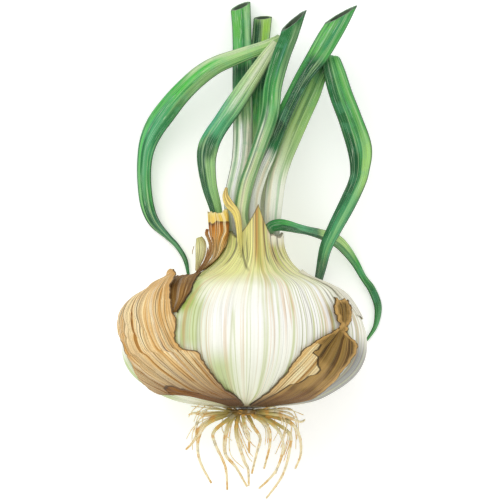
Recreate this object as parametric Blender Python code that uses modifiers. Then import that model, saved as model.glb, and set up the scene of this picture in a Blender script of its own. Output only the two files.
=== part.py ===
"""A picked onion, laid on its flank: a pale flat bulb with peeling skins, cut green leaves and roots.

Metres, +Z up. X runs across the bulb and Y from the roots to the leaf tips. The origin is the middle of
the small flat spot on the flank that the bulb rests on, and the leaves that droop rest on the same plane.
"""
import math
import random

import bmesh
import bpy
import numpy as np
from mathutils import Matrix, Vector

MM = 0.001

# Driving dimensions of the bulb, in millimetres
BULB_RADIUS = 39.8
BULB_SIDES = 48
AXIS_TILT = math.radians(6.0)
FLAT_DEPTH = 0.8
NECK_SHIFT = 3.0
LOBE_COUNT = 7
LOBE_DEPTH = 0.35
COLLAR_RIM = 33.8
COLLAR_RADIUS = 9.6
NECK_STEP = 4.5
SOCKET_RADIUS = 8.9
SOCKET_FLOOR = 27.8
FLAP_HEIGHT = 9.6
FLAP_ANGLE = 8.0
FLAP_SPREAD_LEFT = 40.0
FLAP_SPREAD_RIGHT = 27.0
FLAP_CURVE = 1.5
RIM_RAGGEDNESS = 0.7

# Height along the axis and radius, from the root plate to the collar, in millimetres
BULB_PROFILE = [
    (-22.3, 0.0), (-22.2, 4.0), (-21.5, 10.0), (-19.8, 21.8), (-16.9, 28.7), (-12.0, 35.6),
    (-6.5, 39.1), (0.0, BULB_RADIUS), (5.85, 38.4), (10.7, 35.3), (15.0, 31.0), (18.0, 25.2),
    (20.8, 18.4), (25.0, 12.9), (29.3, 10.2), (COLLAR_RIM, COLLAR_RADIUS),
]
PROFILE_ROWS = [0, 1, 1.5, 2, 2.5, 3, 3.5, 4, 4.5, 5, 5.5, 6, 6.33, 6.67, 7, 7.33, 7.67, 8,
                8.5, 9, 9.5, 10, 10.5, 11, 11.5, 12, 12.5, 13, 14, 15]

# Leaves and sheaths
TUBE_SIDES = 12
BLADE_SIDES = 10
TUBE_WALL = 0.8
BORE_DEPTH = 9.0
STEPS_TO_A_STRETCH = 3
STEPS_ON_A_BENT_LEAF = 2
FINE_STEPS = 12
SKIN_THICKNESS = 0.7

# Roots
ROOT_SEED = 11
ROOT_SIDES = 6
ROOT_STEPS = 3
PLATE_RADIUS = 4.6
PLATE_DEPTH = 1.9
PLATE_GAP = 0.3


def smooth_rows(rows, steps):
    """Rows of a Catmull-Rom curve through the given rows, with this many steps to each stretch."""
    rows = np.array(rows, dtype=float)
    last = len(rows) - 1
    out = []
    for place in range(last):
        before = rows[max(place - 1, 0)]
        here = rows[place]
        ahead = rows[place + 1]
        after = rows[min(place + 2, last)]
        for step in range(steps):
            t = step / steps
            out.append(0.5 * (2 * here + (ahead - before) * t
                              + (2 * before - 5 * here + 4 * ahead - after) * t ** 2
                              + (3 * here - before - 3 * ahead + after) * t ** 3))
    out.append(rows[last])
    return out


def profile_at(place):
    """Height and radius of the bulb at a place along its profile, counted in profile points.

    Past the last point the neck goes straight on.
    """
    beyond = place - (len(BULB_PROFILE) - 1)
    if beyond > 0:
        return np.array((COLLAR_RIM + beyond * NECK_STEP, COLLAR_RADIUS))
    start = min(int(place), len(BULB_PROFILE) - 2)
    window = [BULB_PROFILE[min(max(start + k, 0), len(BULB_PROFILE) - 1)] for k in (-1, 0, 1, 2)]
    before, here, ahead, after = (np.array(point) for point in window)
    t = place - start
    return 0.5 * (2 * here + (ahead - before) * t + (2 * before - 5 * here + 4 * ahead - after) * t ** 2
                  + (3 * here - before - 3 * ahead + after) * t ** 3)


def lowest_place():
    """How far under the bulb's middle its lowest point is, and how far towards the roots."""
    found = (0.0, 0.0)
    for step in range(150):
        along, radius = profile_at(step / 10)
        depth = along * math.sin(AXIS_TILT) + radius * math.cos(AXIS_TILT)
        back = radius * math.sin(AXIS_TILT) - along * math.cos(AXIS_TILT)
        found = max(found, (depth, back))
    return found


BULB_DEPTH, REST_SHIFT = lowest_place()
AXIS_HEIGHT = BULB_DEPTH - FLAT_DEPTH


def ease(low, high, value):
    """Smooth step from 0 at low to 1 at high."""
    t = min(max((value - low) / (high - low), 0.0), 1.0)
    return t * t * (3 - 2 * t)


def bulb_point(along, radius, angle):
    """Point, in millimetres, at a height on the axis, a radius, and an angle from the top.

    Every point in millimetres is measured along Y from the bulb's widest ring.
    """
    across = NECK_SHIFT * ease(5.0, 30.0, along) + radius * math.sin(angle)
    rise = radius * math.cos(angle)
    forward = along * math.cos(AXIS_TILT) + rise * math.sin(AXIS_TILT)
    height = AXIS_HEIGHT - along * math.sin(AXIS_TILT) + rise * math.cos(AXIS_TILT)
    return Vector((across, forward, height))


def new_object(name, mesh, material):
    """Object of a finished mesh in the onion's collection, moved so that the rest spot is the origin."""
    mesh.transform(Matrix.Translation((0.0, REST_SHIFT * MM, 0.0)))
    mesh.materials.clear()
    mesh.materials.append(material)
    mesh.shade_smooth()
    mesh.set_sharp_from_angle(angle=math.radians(50))
    item = bpy.data.objects.new(name, mesh)
    ONION.objects.link(item)
    return item


def finish_material(name, colour, roughness):
    """Plain Principled material."""
    material = bpy.data.materials.new(name)
    material.use_nodes = True
    shader = material.node_tree.nodes["Principled BSDF"]
    shader.inputs["Base Color"].default_value = (*colour, 1.0)
    shader.inputs["Roughness"].default_value = roughness
    shader.inputs["Metallic"].default_value = 0.0
    return material


def mesh_from(bm, name):
    """Mesh of a closed bmesh, in metres and with its faces pointing out."""
    bmesh.ops.recalc_face_normals(bm, faces=bm.faces)
    bmesh.ops.scale(bm, vec=(MM, MM, MM), verts=bm.verts)
    mesh = bpy.data.meshes.new(name)
    bm.to_mesh(mesh)
    bm.free()
    return mesh


def join_rings(bm, rings):
    """Quads between rings of vertices, with the first and the last ring capped."""
    count = len(rings[0])
    for first, second in zip(rings, rings[1:]):
        for k in range(count):
            bm.faces.new((first[k], first[(k + 1) % count], second[(k + 1) % count], second[k]))
    bm.faces.new(tuple(reversed(rings[0])))
    bm.faces.new(tuple(rings[-1]))


def leaf(name, rows, material, sides=BLADE_SIDES, bore=0.0, cut=(0.0, 0.0), steps=STEPS_TO_A_STRETCH):
    """Leaf lofted along its middle line. A row is x, y, z, width, thickness, roll in degrees and hollow.

    The hollow lifts the leaf's two edges above its middle, as a share of the width. A bore opens the far
    end of a cut tube, and the cut's two slopes lean that end across the leaf and over its thickness. The
    leaf's turning is followed in fine steps, and a ring is made at each of the coarser steps.
    """
    bm = bmesh.new()
    path = smooth_rows(rows, FINE_STEPS)
    to_a_ring = FINE_STEPS // steps
    middles = [Vector(row[:3]) for row in path]
    side = Vector((1.0, 0.0, 0.0))
    rings = []
    last = len(path) - 1
    for place, row in enumerate(path):
        width, thickness, roll, hollow = row[3:7]
        ahead = (middles[min(place + 1, last)] - middles[max(place - 1, 0)]).normalized()
        side = (side - ahead * side.dot(ahead)).normalized()
        if place % to_a_ring:
            continue
        up = side.cross(ahead)
        turn = math.radians(roll)
        across = side * math.cos(turn) + up * math.sin(turn)
        outward = up * math.cos(turn) - side * math.sin(turn)
        near_end = max(0.0, 1.0 - (last - place) / (2 * FINE_STEPS)) if bore else 0.0
        rings.append([])
        for k in range(sides):
            angle = 2 * math.pi * k / sides
            reach = width / 2 * math.cos(angle)
            lift = thickness / 2 * math.sin(angle) + hollow * width * math.cos(angle) ** 2
            lean = near_end * (cut[0] * reach + cut[1] * lift)
            point = middles[place] + across * reach + outward * lift + ahead * lean
            point.z = max(point.z, 0.0)
            rings[-1].append(bm.verts.new(point))
    if bore:
        outer = [vertex.co.copy() for vertex in rings[-1]]
        share = 1 - 2 * TUBE_WALL / min(width, thickness)
        for depth in (0.0, 0.5, 1.0):
            back = ahead * (bore * depth)
            narrow = share * (1 - 0.25 * depth)
            rings.append([])
            for point in outer:
                offset = point - middles[-1]
                offset = offset - ahead * offset.dot(ahead) * depth
                spot = middles[-1] + offset * narrow - back
                spot = spot + (middle_line_at(middles, bore * depth) - middles[-1] + back)
                spot.z = max(spot.z, TUBE_WALL)
                rings[-1].append(bm.verts.new(spot))
    join_rings(bm, rings)
    return new_object(name, mesh_from(bm, name), material)


def middle_line_at(middles, distance):
    """Point of a line of points at a distance back from its end."""
    left = distance
    for here, before in zip(reversed(middles), reversed(middles[:-1])):
        length = (before - here).length
        if length >= left:
            return here + (before - here) * (left / length)
        left -= length
    return middles[0]


def papery_patch(name, rows, material, columns, pleats=0.0, pleat_count=0.0, thickness=SKIN_THICKNESS):
    """Skin over part of the bulb: an open sheet, made thick with Solidify.

    A row is the place along the bulb's profile, the two edge angles in degrees, and how far the skin's
    first edge, middle and second edge stand off the bulb.
    """
    path = smooth_rows(rows, 2)
    bm = bmesh.new()
    grid = []
    for row_number, row in enumerate(path):
        place, first_angle, second_angle, first_lift, middle_lift, second_lift = row
        along, radius = profile_at(place)
        grid.append([])
        for column in range(columns + 1):
            share = column / columns
            angle = math.radians(first_angle + (second_angle - first_angle) * share)
            bulge = 4 * share * (1 - share)
            lift = first_lift * (1 - share) + second_lift * share
            lift = lift + (middle_lift - (first_lift + second_lift) / 2) * bulge
            wave = pleats * math.sin(2 * math.pi * pleat_count * share + 0.35 * row_number)
            grid[-1].append(bm.verts.new(bulb_point(along, radius + lift + abs(wave), angle)))
    for lower, upper in zip(grid, grid[1:]):
        for k in range(columns):
            corners = (lower[k], lower[k + 1], upper[k + 1], upper[k])
            bm.faces.new((corners[0], corners[1], corners[2]))
            bm.faces.new((corners[0], corners[2], corners[3]))
    bmesh.ops.recalc_face_normals(bm, faces=bm.faces)
    middle = grid[len(grid) // 2][columns // 2]
    outward = middle.co - bulb_point(0.0, 0.0, 0.0)
    middle.normal_update()
    if middle.normal.dot(outward) < 0:
        bmesh.ops.reverse_faces(bm, faces=bm.faces)
    bmesh.ops.scale(bm, vec=(MM, MM, MM), verts=bm.verts)
    mesh = bpy.data.meshes.new(name)
    bm.to_mesh(mesh)
    bm.free()
    item = new_object(name, mesh, material)
    shell = item.modifiers.new("Paper thickness", "SOLIDIFY")
    shell.thickness = thickness * MM
    shell.offset = 1.0
    shell.use_even_offset = True
    return item


def bulb_mesh():
    """Turned body of the bulb with its collar and the socket that the leaves stand in."""
    turned = [profile_at(row) for row in PROFILE_ROWS]
    turned += [(COLLAR_RIM, SOCKET_RADIUS), (SOCKET_FLOOR, SOCKET_RADIUS), (SOCKET_FLOOR, 0.0)]
    turned.reverse()
    mesh = bpy.data.meshes.new("bulb_profile")
    points = [(radius * MM, 0.0, along * MM) for along, radius in turned]
    mesh.from_pydata(points, [(k, k + 1) for k in range(len(points) - 1)], [])
    profile = bpy.data.objects.new("bulb_profile", mesh)
    bpy.context.scene.collection.objects.link(profile)
    turning = profile.modifiers.new("Turn", "SCREW")
    turning.axis = "Z"
    turning.steps = BULB_SIDES
    turning.render_steps = BULB_SIDES
    turning.use_merge_vertices = True
    turning.merge_threshold = 0.00001
    drawn = profile.evaluated_get(bpy.context.evaluated_depsgraph_get())
    body = bpy.data.meshes.new_from_object(drawn)
    bpy.data.objects.remove(profile)
    return body


def collar_rise(angle):
    """How far the collar's torn rim stands above its plain height at an angle from the top."""
    from_flap = math.degrees(math.atan2(math.sin(angle), math.cos(angle))) - FLAP_ANGLE
    spread = FLAP_SPREAD_RIGHT if from_flap > 0 else FLAP_SPREAD_LEFT
    flap = FLAP_HEIGHT * max(0.0, 1 - abs(from_flap) / spread) ** FLAP_CURVE
    ragged = RIM_RAGGEDNESS * (math.sin(5 * angle + 0.6) + 0.6 * math.sin(11 * angle))
    return flap + ragged * (1 - min(flap, 1.0))


def make_bulb():
    body = bulb_mesh()
    first_angle = math.pi / BULB_SIDES
    for vertex in body.vertices:
        x, y, z = (value / MM for value in vertex.co)
        radius = math.hypot(x, y)
        angle = math.atan2(y, x) + first_angle
        lobes = LOBE_DEPTH * math.sin(LOBE_COUNT * angle + 0.4) * ease(6.0, 24.0, radius)
        under = ease(0.75, 0.95, -math.cos(angle))
        along = z
        if z > COLLAR_RIM - 0.01:
            along = z + collar_rise(angle)
        point = bulb_point(along, radius + lobes * (1 - under), angle)
        point.z = max(point.z, 0.0)
        vertex.co = point * MM
    bm = bmesh.new()
    bm.from_mesh(body)
    bmesh.ops.recalc_face_normals(bm, faces=bm.faces)
    bm.to_mesh(body)
    bm.free()
    return new_object("bulb", body, finish_material("bulb_flesh", (0.88, 0.88, 0.66), 0.42))


def make_leaves():
    green = finish_material("leaf_green", (0.10, 0.36, 0.16), 0.5)
    mid_green = finish_material("leaf_mid_green", (0.16, 0.42, 0.20), 0.5)
    dark_green = finish_material("leaf_dark_green", (0.03, 0.15, 0.07), 0.5)
    leaf("leaf_tall", [
        (-2.8, 28.8, 36.3, 5.2, 4.3, 0, 0), (-3.2, 36, 35.5, 5.6, 4.3, 0, 0),
        (-3.8, 46, 33.8, 6.0, 4.5, 0, 0), (-1.2, 58.8, 30.0, 6.2, 4.8, 0, 0),
        (-0.7, 70.9, 24.5, 6.4, 5.0, 0, 0), (-0.9, 81.3, 18.5, 6.4, 5.0, 0, 0),
        (-0.9, 91, 12.0, 6.4, 5.0, 0, 0), (-1.1, 101.2, 6.8, 6.4, 5.0, 0, 0),
        (-1.5, 109.0, 4.2, 6.6, 5.0, 0, 0),
    ], mid_green, TUBE_SIDES, BORE_DEPTH, (0.4, -0.7))
    leaf("leaf_short", [
        (0.15, 28.8, 31.7, 4.9, 4.0, 0, 0), (0.3, 36, 30.4, 5.1, 4.1, 0, 0),
        (0.6, 48, 27.0, 5.6, 4.4, 0, 0), (1.6, 65, 20.0, 5.8, 4.6, 0, 0),
        (2.6, 74.8, 14.6, 6.0, 4.8, 0, 0), (3.9, 86, 8.4, 6.0, 4.8, 0, 0),
        (4.9, 95.9, 4.4, 6.0, 4.8, 0, 0), (5.8, 105.3, 2.3, 6.0, 4.8, 0, 0),
    ], green, TUBE_SIDES, BORE_DEPTH, (0.15, -0.5))
    leaf("leaf_front", [
        (0.3, 28.8, 40.9, 4.9, 4.0, 0, 0), (-0.4, 36, 40.2, 4.9, 4.0, 0, 0),
        (-1.2, 41, 39.9, 5.0, 4.0, 0, 0), (0.2, 49.7, 39.4, 5.0, 4.1, 0, 0),
        (2.6, 56.9, 38.7, 4.9, 4.2, 0, 0), (4.9, 63.4, 37.8, 5.2, 4.4, 0, 0),
        (8.0, 73.1, 35.8, 6.0, 4.5, 0, 0), (9.1, 82.6, 33.8, 6.1, 4.5, 0, 0),
        (11.7, 92.0, 31.4, 6.2, 4.6, 0, 0), (14.1, 98.4, 29.8, 6.1, 4.6, 0, 0),
        (15.9, 103.8, 28.6, 6.0, 4.6, 0, 0),
    ], green, TUBE_SIDES, BORE_DEPTH, (1.5, -1.0))
    leaf("leaf_right_cut", [
        (2.9, 28.8, 36.3, 5.2, 4.3, 0, 0), (2.8, 36, 35.5, 5.3, 4.3, 0, 0),
        (2.4, 45.5, 34.8, 5.6, 4.3, 0, 0), (4.4, 53.6, 34.2, 5.8, 4.3, 0, 0),
        (7.2, 60.1, 33.6, 5.6, 4.4, 0, 0), (9.3, 65, 33.0, 5.2, 4.4, 0, 0),
        (12.7, 73.4, 31.6, 5.0, 4.5, 0, 0), (16.0, 80.3, 30.6, 5.0, 4.5, 0, 0),
        (19.3, 86.2, 29.9, 5.6, 4.5, 0, 0), (23.7, 92.6, 29.3, 7.0, 4.5, 0, 0),
        (28.3, 100.4, 28.3, 7.2, 4.4, 0, 0), (31.2, 105.8, 27.6, 6.9, 4.2, 0, 0),
    ], green, TUBE_SIDES, BORE_DEPTH, (1.5, -0.85))
    leaf("leaf_right_folded", [
        (8.6, 28.8, 36.2, 5.2, 4.2, 0, 0), (8.8, 36, 35.2, 5.4, 4.2, 0, 0),
        (9.3, 43.9, 33.9, 6.0, 4.2, 0, 0), (10.3, 52, 31.8, 6.4, 4.2, 0, 0),
        (12.2, 58.5, 29.6, 6.4, 4.0, 0, 0), (14.4, 64, 27.6, 6.4, 3.8, 0, 0),
        (18.1, 72.8, 24.9, 6.6, 3.2, 0, 0), (21.4, 80.0, 23.0, 6.6, 2.6, 0, 0),
        (23.8, 85.8, 21.6, 5.8, 2.2, 0, 0), (25.9, 90.0, 21.2, 5.8, 2.0, -8, 0),
        (27.4, 91.9, 22.8, 5.8, 2.0, -38, 0), (28.2, 90.8, 24.9, 6.0, 2.0, -72, 0),
        (29.3, 86.6, 26.0, 7.2, 2.0, -72, 0.04), (31.4, 79.6, 25.6, 7.8, 2.0, -72, 0.06),
        (34.4, 71.7, 24.4, 8.0, 2.0, -72, 0.08), (37.3, 62.4, 22.8, 8.2, 2.0, -78, 0.08),
        (37.4, 55.3, 21.6, 6.5, 2.0, -80, 0.06), (36.3, 50.7, 21.0, 5.9, 2.0, -82, 0.06),
        (33.2, 43.9, 21.0, 5.7, 2.0, -80, 0.06), (29.2, 36.2, 21.4, 4.9, 1.8, -78, 0.05),
        (26.3, 29.9, 18.6, 4.2, 1.6, -74, 0.04), (24.9, 23.6, 10.4, 3.5, 1.4, -69, 0),
        (23.9, 18.6, 1.6, 2.4, 1.1, -69, 0), (23.5, 16.4, 0.6, 0.9, 0.9, -69, 0),
    ], mid_green, BLADE_SIDES, steps=STEPS_ON_A_BENT_LEAF)
    leaf("leaf_left_long", [
        (5.65, 28.8, 31.7, 4.9, 4.0, 0, 0), (5.8, 36, 30.8, 4.9, 4.0, 0, 0),
        (5.6, 48.8, 28.6, 5.0, 3.6, 0, 0), (5.8, 61.8, 26.2, 5.0, 3.0, 0, 0),
        (6.4, 74.8, 23.4, 5.0, 2.6, 0, 0), (6.8, 82.9, 20.0, 5.2, 2.4, 0, 0),
        (7.8, 90.0, 17.2, 5.4, 2.2, 0, 0), (9.7, 94.8, 16.2, 5.2, 2.0, 0, 0),
        (11.2, 97.2, 17.6, 4.6, 1.9, 0, 0), (11.8, 98.0, 20.0, 4.4, 1.8, 0, 0),
        (10.7, 97.2, 22.6, 4.6, 1.8, 0, 0), (7.0, 95.6, 23.3, 4.7, 1.8, 0, 0),
        (2.4, 94.0, 23.0, 4.9, 1.8, 0, -0.02), (-3.4, 91.9, 21.8, 5.5, 1.9, 0, -0.04),
        (-9.3, 89.5, 20.0, 6.3, 1.9, 0, -0.06), (-14.8, 85.8, 17.6, 7.3, 1.9, 0, -0.08),
        (-20.4, 80.6, 14.6, 7.9, 1.9, 0, -0.06), (-25.2, 75.0, 11.4, 8.5, 1.9, 0, -0.04),
        (-29.2, 69.6, 8.6, 8.3, 1.9, 0, -0.03), (-31.8, 64.3, 6.2, 7.6, 1.9, 0, 0),
        (-32.9, 58.6, 4.2, 6.8, 1.9, 0, 0), (-33.0, 51.3, 2.6, 6.4, 1.9, 0, 0),
        (-32.0, 43.7, 1.7, 6.2, 1.8, 0, 0), (-29.7, 38.2, 1.3, 5.2, 1.7, 0, 0),
        (-25.4, 33.6, 0.9, 2.7, 1.6, 0, 0), (-22.4, 30.6, 0.8, 1.9, 1.5, 0, 0),
        (-19.7, 26.2, 0.7, 1.8, 1.3, 0, 0), (-18.6, 21.2, 0.5, 0.9, 0.9, 0, 0),
    ], dark_green, BLADE_SIDES, steps=STEPS_ON_A_BENT_LEAF)
    leaf("leaf_left_kinked", [
        (-8.6, 33.6, 36.8, 2.5, 1.9, 0, 0), (-9.0, 38.4, 36.7, 3.0, 2.1, 0, 0),
        (-9.6, 42.6, 36.3, 4.1, 2.2, 0, 0), (-11.7, 50.2, 35.0, 5.2, 2.2, 0, 0.04),
        (-12.6, 57.5, 33.2, 6.2, 2.2, 0, 0.06), (-12.1, 62.4, 31.8, 6.8, 2.2, 0, 0.05),
        (-10.4, 66.4, 30.6, 6.4, 2.1, 0, 0.03), (-7.7, 70.6, 29.6, 6.1, 2.1, 0, 0),
        (-3.3, 77.0, 28.4, 6.6, 2.0, 0, -0.03), (2.3, 85.3, 27.0, 5.6, 1.9, 0, -0.03),
        (6.9, 92.3, 26.0, 4.2, 1.8, 0, 0), (10.2, 96.8, 25.5, 3.2, 1.6, 0, 0),
    ], mid_green, BLADE_SIDES)
    leaf("leaf_small_right", [
        (5.9, 28.8, 41.0, 3.4, 1.4, 0, 0), (6.6, 33.4, 41.4, 3.6, 1.4, 0, 0),
        (8.4, 36.6, 42.0, 3.8, 1.3, 0, 0), (11.2, 37.4, 41.4, 4.0, 1.2, 0, 0),
        (14.2, 37.0, 38.6, 3.8, 1.2, 0, 0), (17.4, 36.2, 32.6, 3.2, 1.2, 0, 0.04),
        (20.6, 35.5, 24.4, 2.9, 1.2, 0, 0.04), (25.2, 34.2, 15.0, 3.6, 1.2, 0, 0.06),
        (29.9, 32.3, 10.0, 4.5, 1.2, 0, 0), (33.2, 29.3, 7.4, 4.2, 1.2, 0, -0.04),
        (36.1, 25.2, 4.8, 3.3, 1.2, 0, -0.04), (38.8, 20.2, 3.4, 2.7, 1.2, 0, 0),
        (41.4, 16.6, 2.4, 3.2, 1.2, 0, 0), (43.3, 12.1, 1.4, 3.4, 1.2, 0, 0),
        (43.6, 8.6, 0.9, 3.0, 1.2, 0, 0), (42.6, 4.0, 0.6, 1.9, 1.0, 0, 0),
        (39.8, -0.4, 0.4, 0.8, 0.8, 0, 0),
    ], mid_green, BLADE_SIDES, steps=STEPS_ON_A_BENT_LEAF)


def make_neck_sheaths():
    dry = finish_material("dry_sheath", (0.62, 0.42, 0.18), 0.6)
    pale = finish_material("pale_sheath", (0.82, 0.84, 0.55), 0.5)
    yellow = finish_material("yellow_sheath", (0.80, 0.66, 0.22), 0.55)
    papery_patch("sheath_dry_pocket", [
        (12.3, -84, -74, 0.4, 0.5, 0.4), (12.8, -98, -76, 0.4, 1.1, 0.4),
        (13.4, -108, -73, 0.4, 1.6, 0.4), (14.1, -114, -62, 0.4, 2.8, 0.5),
        (14.6, -116, -55, 0.6, 3.7, 0.6), (15.2, -114, -51, 1.2, 4.5, 0.8),
        (15.9, -108, -47, 2.4, 4.9, 1.4), (16.7, -104, -45, 3.4, 5.2, 2.4),
    ], dry, 12)
    leaf("sheath_pale_flap", [
        (-15.7, 22.4, 37.0, 1.0, 0.8, 0, 0), (-15.2, 24.7, 37.2, 1.9, 0.8, 0, 0),
        (-14.7, 26.7, 37.5, 2.9, 0.8, 0, 0), (-14.4, 28.6, 37.9, 3.5, 0.8, 0, 0),
        (-14.3, 30.5, 38.2, 3.7, 0.8, 0, 0), (-14.5, 32.0, 38.5, 3.2, 0.8, 0, 0),
        (-15.0, 33.3, 38.8, 2.0, 0.8, 0, 0),
    ], pale, 8)
    leaf("sheath_yellow_curl", [
        (-1.7, 31.8, 45.4, 1.8, 0.8, -20, 0), (-2.0, 36.6, 45.0, 2.4, 0.8, -20, 0),
        (-2.9, 41.1, 44.4, 3.0, 0.8, -20, 0), (-5.2, 44.2, 42.6, 3.2, 0.8, -10, 0),
        (-6.3, 46.8, 40.8, 2.2, 0.8, 0, 0), (-6.1, 49.4, 39.6, 0.9, 0.8, 0, 0),
    ], yellow, 8)


def make_skins():
    tan = finish_material("skin_tan", (0.75, 0.50, 0.24), 0.55)
    brown = finish_material("skin_brown", (0.42, 0.28, 0.13), 0.6)
    white = finish_material("skin_pale", (0.85, 0.84, 0.78), 0.5)
    papery_patch("skin_left", [
        (1.5, -46, -2, 0.4, 0.4, 0.4), (2.5, -44, -6, 0.4, 0.5, 0.4), (3.2, -54, -11, 0.4, 0.5, 0.4),
        (3.8, -86, -15, 0.5, 0.5, 0.4), (4.6, -80, -19, 0.5, 0.6, 0.4), (5.3, -71, -21, 0.5, 0.6, 0.4),
        (5.85, -70, -22, 0.5, 0.6, 0.4), (6.1, -71, -31, 0.5, 0.6, 0.4),
        (6.7, -76, -33, 0.7, 0.6, 0.5), (7.5, -94, -33, 1.2, 0.9, 1.0),
        (8.5, -106, -38, 3.6, 2.8, 1.8), (9.4, -104, -42, 4.4, 3.8, 2.9), (10.2, -100, -45, 2.6, 3.6, 4.4),
        (11.0, -95, -50, 5.8, 6.0, 6.0), (11.7, -93, -58, 7.0, 7.6, 7.8), (12.3, -92, -67, 9.8, 10.2, 10.2),
    ], tan, 12, pleats=0.5, pleat_count=2.5)
    papery_patch("skin_left_inner", [
        (8.0, -39, -34, 0.5, 0.5, 0.4), (8.8, -46, -32, 0.9, 0.6, 0.4), (9.6, -54, -32, 1.3, 0.8, 0.4), (10.4, -64, -37, 2.0, 1.2, 0.4),
        (11.0, -76, -42, 3.2, 1.8, 0.4), (11.5, -84, -49, 4.2, 2.2, 0.4), (11.9, -90, -56, 4.7, 2.5, 0.4),
    ], brown, 8)
    papery_patch("skin_right", [
        (1.5, 12, 66, 0.4, 0.4, 0.4), (2.6, 15, 74, 0.4, 0.5, 0.4), (3.4, 18, 66, 0.4, 0.5, 0.4),
        (4.4, 22, 61, 0.4, 0.6, 0.5), (5.2, 24, 59, 0.4, 0.6, 0.5), (6.0, 28, 61, 0.4, 0.6, 0.6),
        (6.5, 34, 61, 0.5, 0.6, 0.7), (6.9, 43, 54, 0.5, 0.6, 0.7), (7.3, 49, 54, 0.6, 0.7, 0.7),
        (7.8, 47, 57, 0.8, 0.9, 1.0), (8.4, 46, 60, 1.2, 1.4, 1.4), (9.0, 49, 60, 1.6, 1.8, 1.8),
    ], brown, 8, pleats=0.3, pleat_count=1.5)
    papery_patch("skin_shoulder", [
        (8.2, 70, 118, 0.4, 0.6, 0.5), (9.2, 62, 116, 0.4, 0.6, 0.5), (10.2, 60, 112, 0.4, 0.6, 0.5),
        (11.2, 58, 106, 0.4, 0.6, 0.5), (12.2, 58, 98, 0.4, 0.5, 0.4),
    ], white, 8)


# Each root: across at the plate, then across and reach of the points it runs through, in millimetres
ROOT_ROUTES = [
    (-3.4, [(-5.5, -28.0), (-6.5, -36.7), (-2.9, -41.6), (0.6, -47.8)]),
    (-2.6, [(-2.9, -30.2), (-0.3, -39.3), (1.0, -42.2), (1.2, -47.5)]),
    (-1.0, [(0.0, -28.6), (1.2, -31.0), (1.3, -36.7)]),
    (0.8, [(2.6, -28.0), (4.9, -32.0), (3.8, -36.8), (2.2, -43.5)]),
    (2.2, [(7.2, -28.0), (8.1, -33.6), (6.2, -41.9)]),
    (3.2, [(9.8, -28.2), (12.4, -34.2), (10.0, -42.6), (4.6, -48.4)]),
    (3.8, [(13.7, -29.6), (14.6, -35.0), (12.2, -44.0), (6.9, -51.6)]),
    (4.2, [(14.0, -26.6), (17.4, -30.6), (18.2, -36.8), (16.4, -42.0)]),
    (4.0, [(12.4, -24.6), (17.6, -26.6), (19.3, -26.2)]),
    (-3.6, [(-12.3, -24.4), (-16.2, -23.9), (-18.2, -24.4)]),
    (-4.0, [(-10.4, -25.6), (-14.8, -28.6), (-16.6, -32.8), (-19.2, -35.7)]),
    (-4.2, [(-12.3, -27.3), (-15.3, -33.0), (-14.6, -39.6), (-11.0, -46.6)]),
    (-3.0, [(-9.8, -29.4), (-9.8, -33.6), (-6.4, -41.4), (-5.8, -48.9)]),
]
ROOT_THICK = (1.9, 1.6)
ROOT_THIN = 0.8
ROOT_CROWDING = 0.72


def root_tube(name, start_across, route, chance, plate_middle):
    """One root: a tapering tube from inside the plate, sinking as it runs out."""
    start = plate_middle + Vector((start_across * ROOT_CROWDING, 0.0, chance.uniform(-1.8, 1.8)))
    drop = chance.uniform(5.0, 15.0)
    thick = chance.uniform(ROOT_THICK[1], ROOT_THICK[0])
    length = len(route)
    rows = [(*start, thick)]
    for number, (across, reach) in enumerate(route, 1):
        share = number / length
        sway = chance.uniform(-1.2, 1.2)
        height = start.z - drop * share ** 1.6 + sway
        rows.append((across, reach, height, thick + (ROOT_THIN - thick) * share))
    path = smooth_rows(rows, ROOT_STEPS)
    middles = [Vector(row[:3]) for row in path]
    bm = bmesh.new()
    side = Vector((1.0, 0.0, 0.0))
    rings = []
    last = len(path) - 1
    for place, row in enumerate(path):
        ahead = (middles[min(place + 1, last)] - middles[max(place - 1, 0)]).normalized()
        side = (side - ahead * side.dot(ahead)).normalized()
        up = side.cross(ahead)
        rings.append([])
        for k in range(ROOT_SIDES):
            angle = 2 * math.pi * k / ROOT_SIDES
            offset = side * math.cos(angle) + up * math.sin(angle)
            rings[-1].append(bm.verts.new(middles[place] + offset * (row[3] / 2)))
    join_rings(bm, rings)
    item = bpy.data.objects.new(name, mesh_from(bm, name))
    item.hide_render = True
    item.display_type = "WIRE"
    return item


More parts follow.
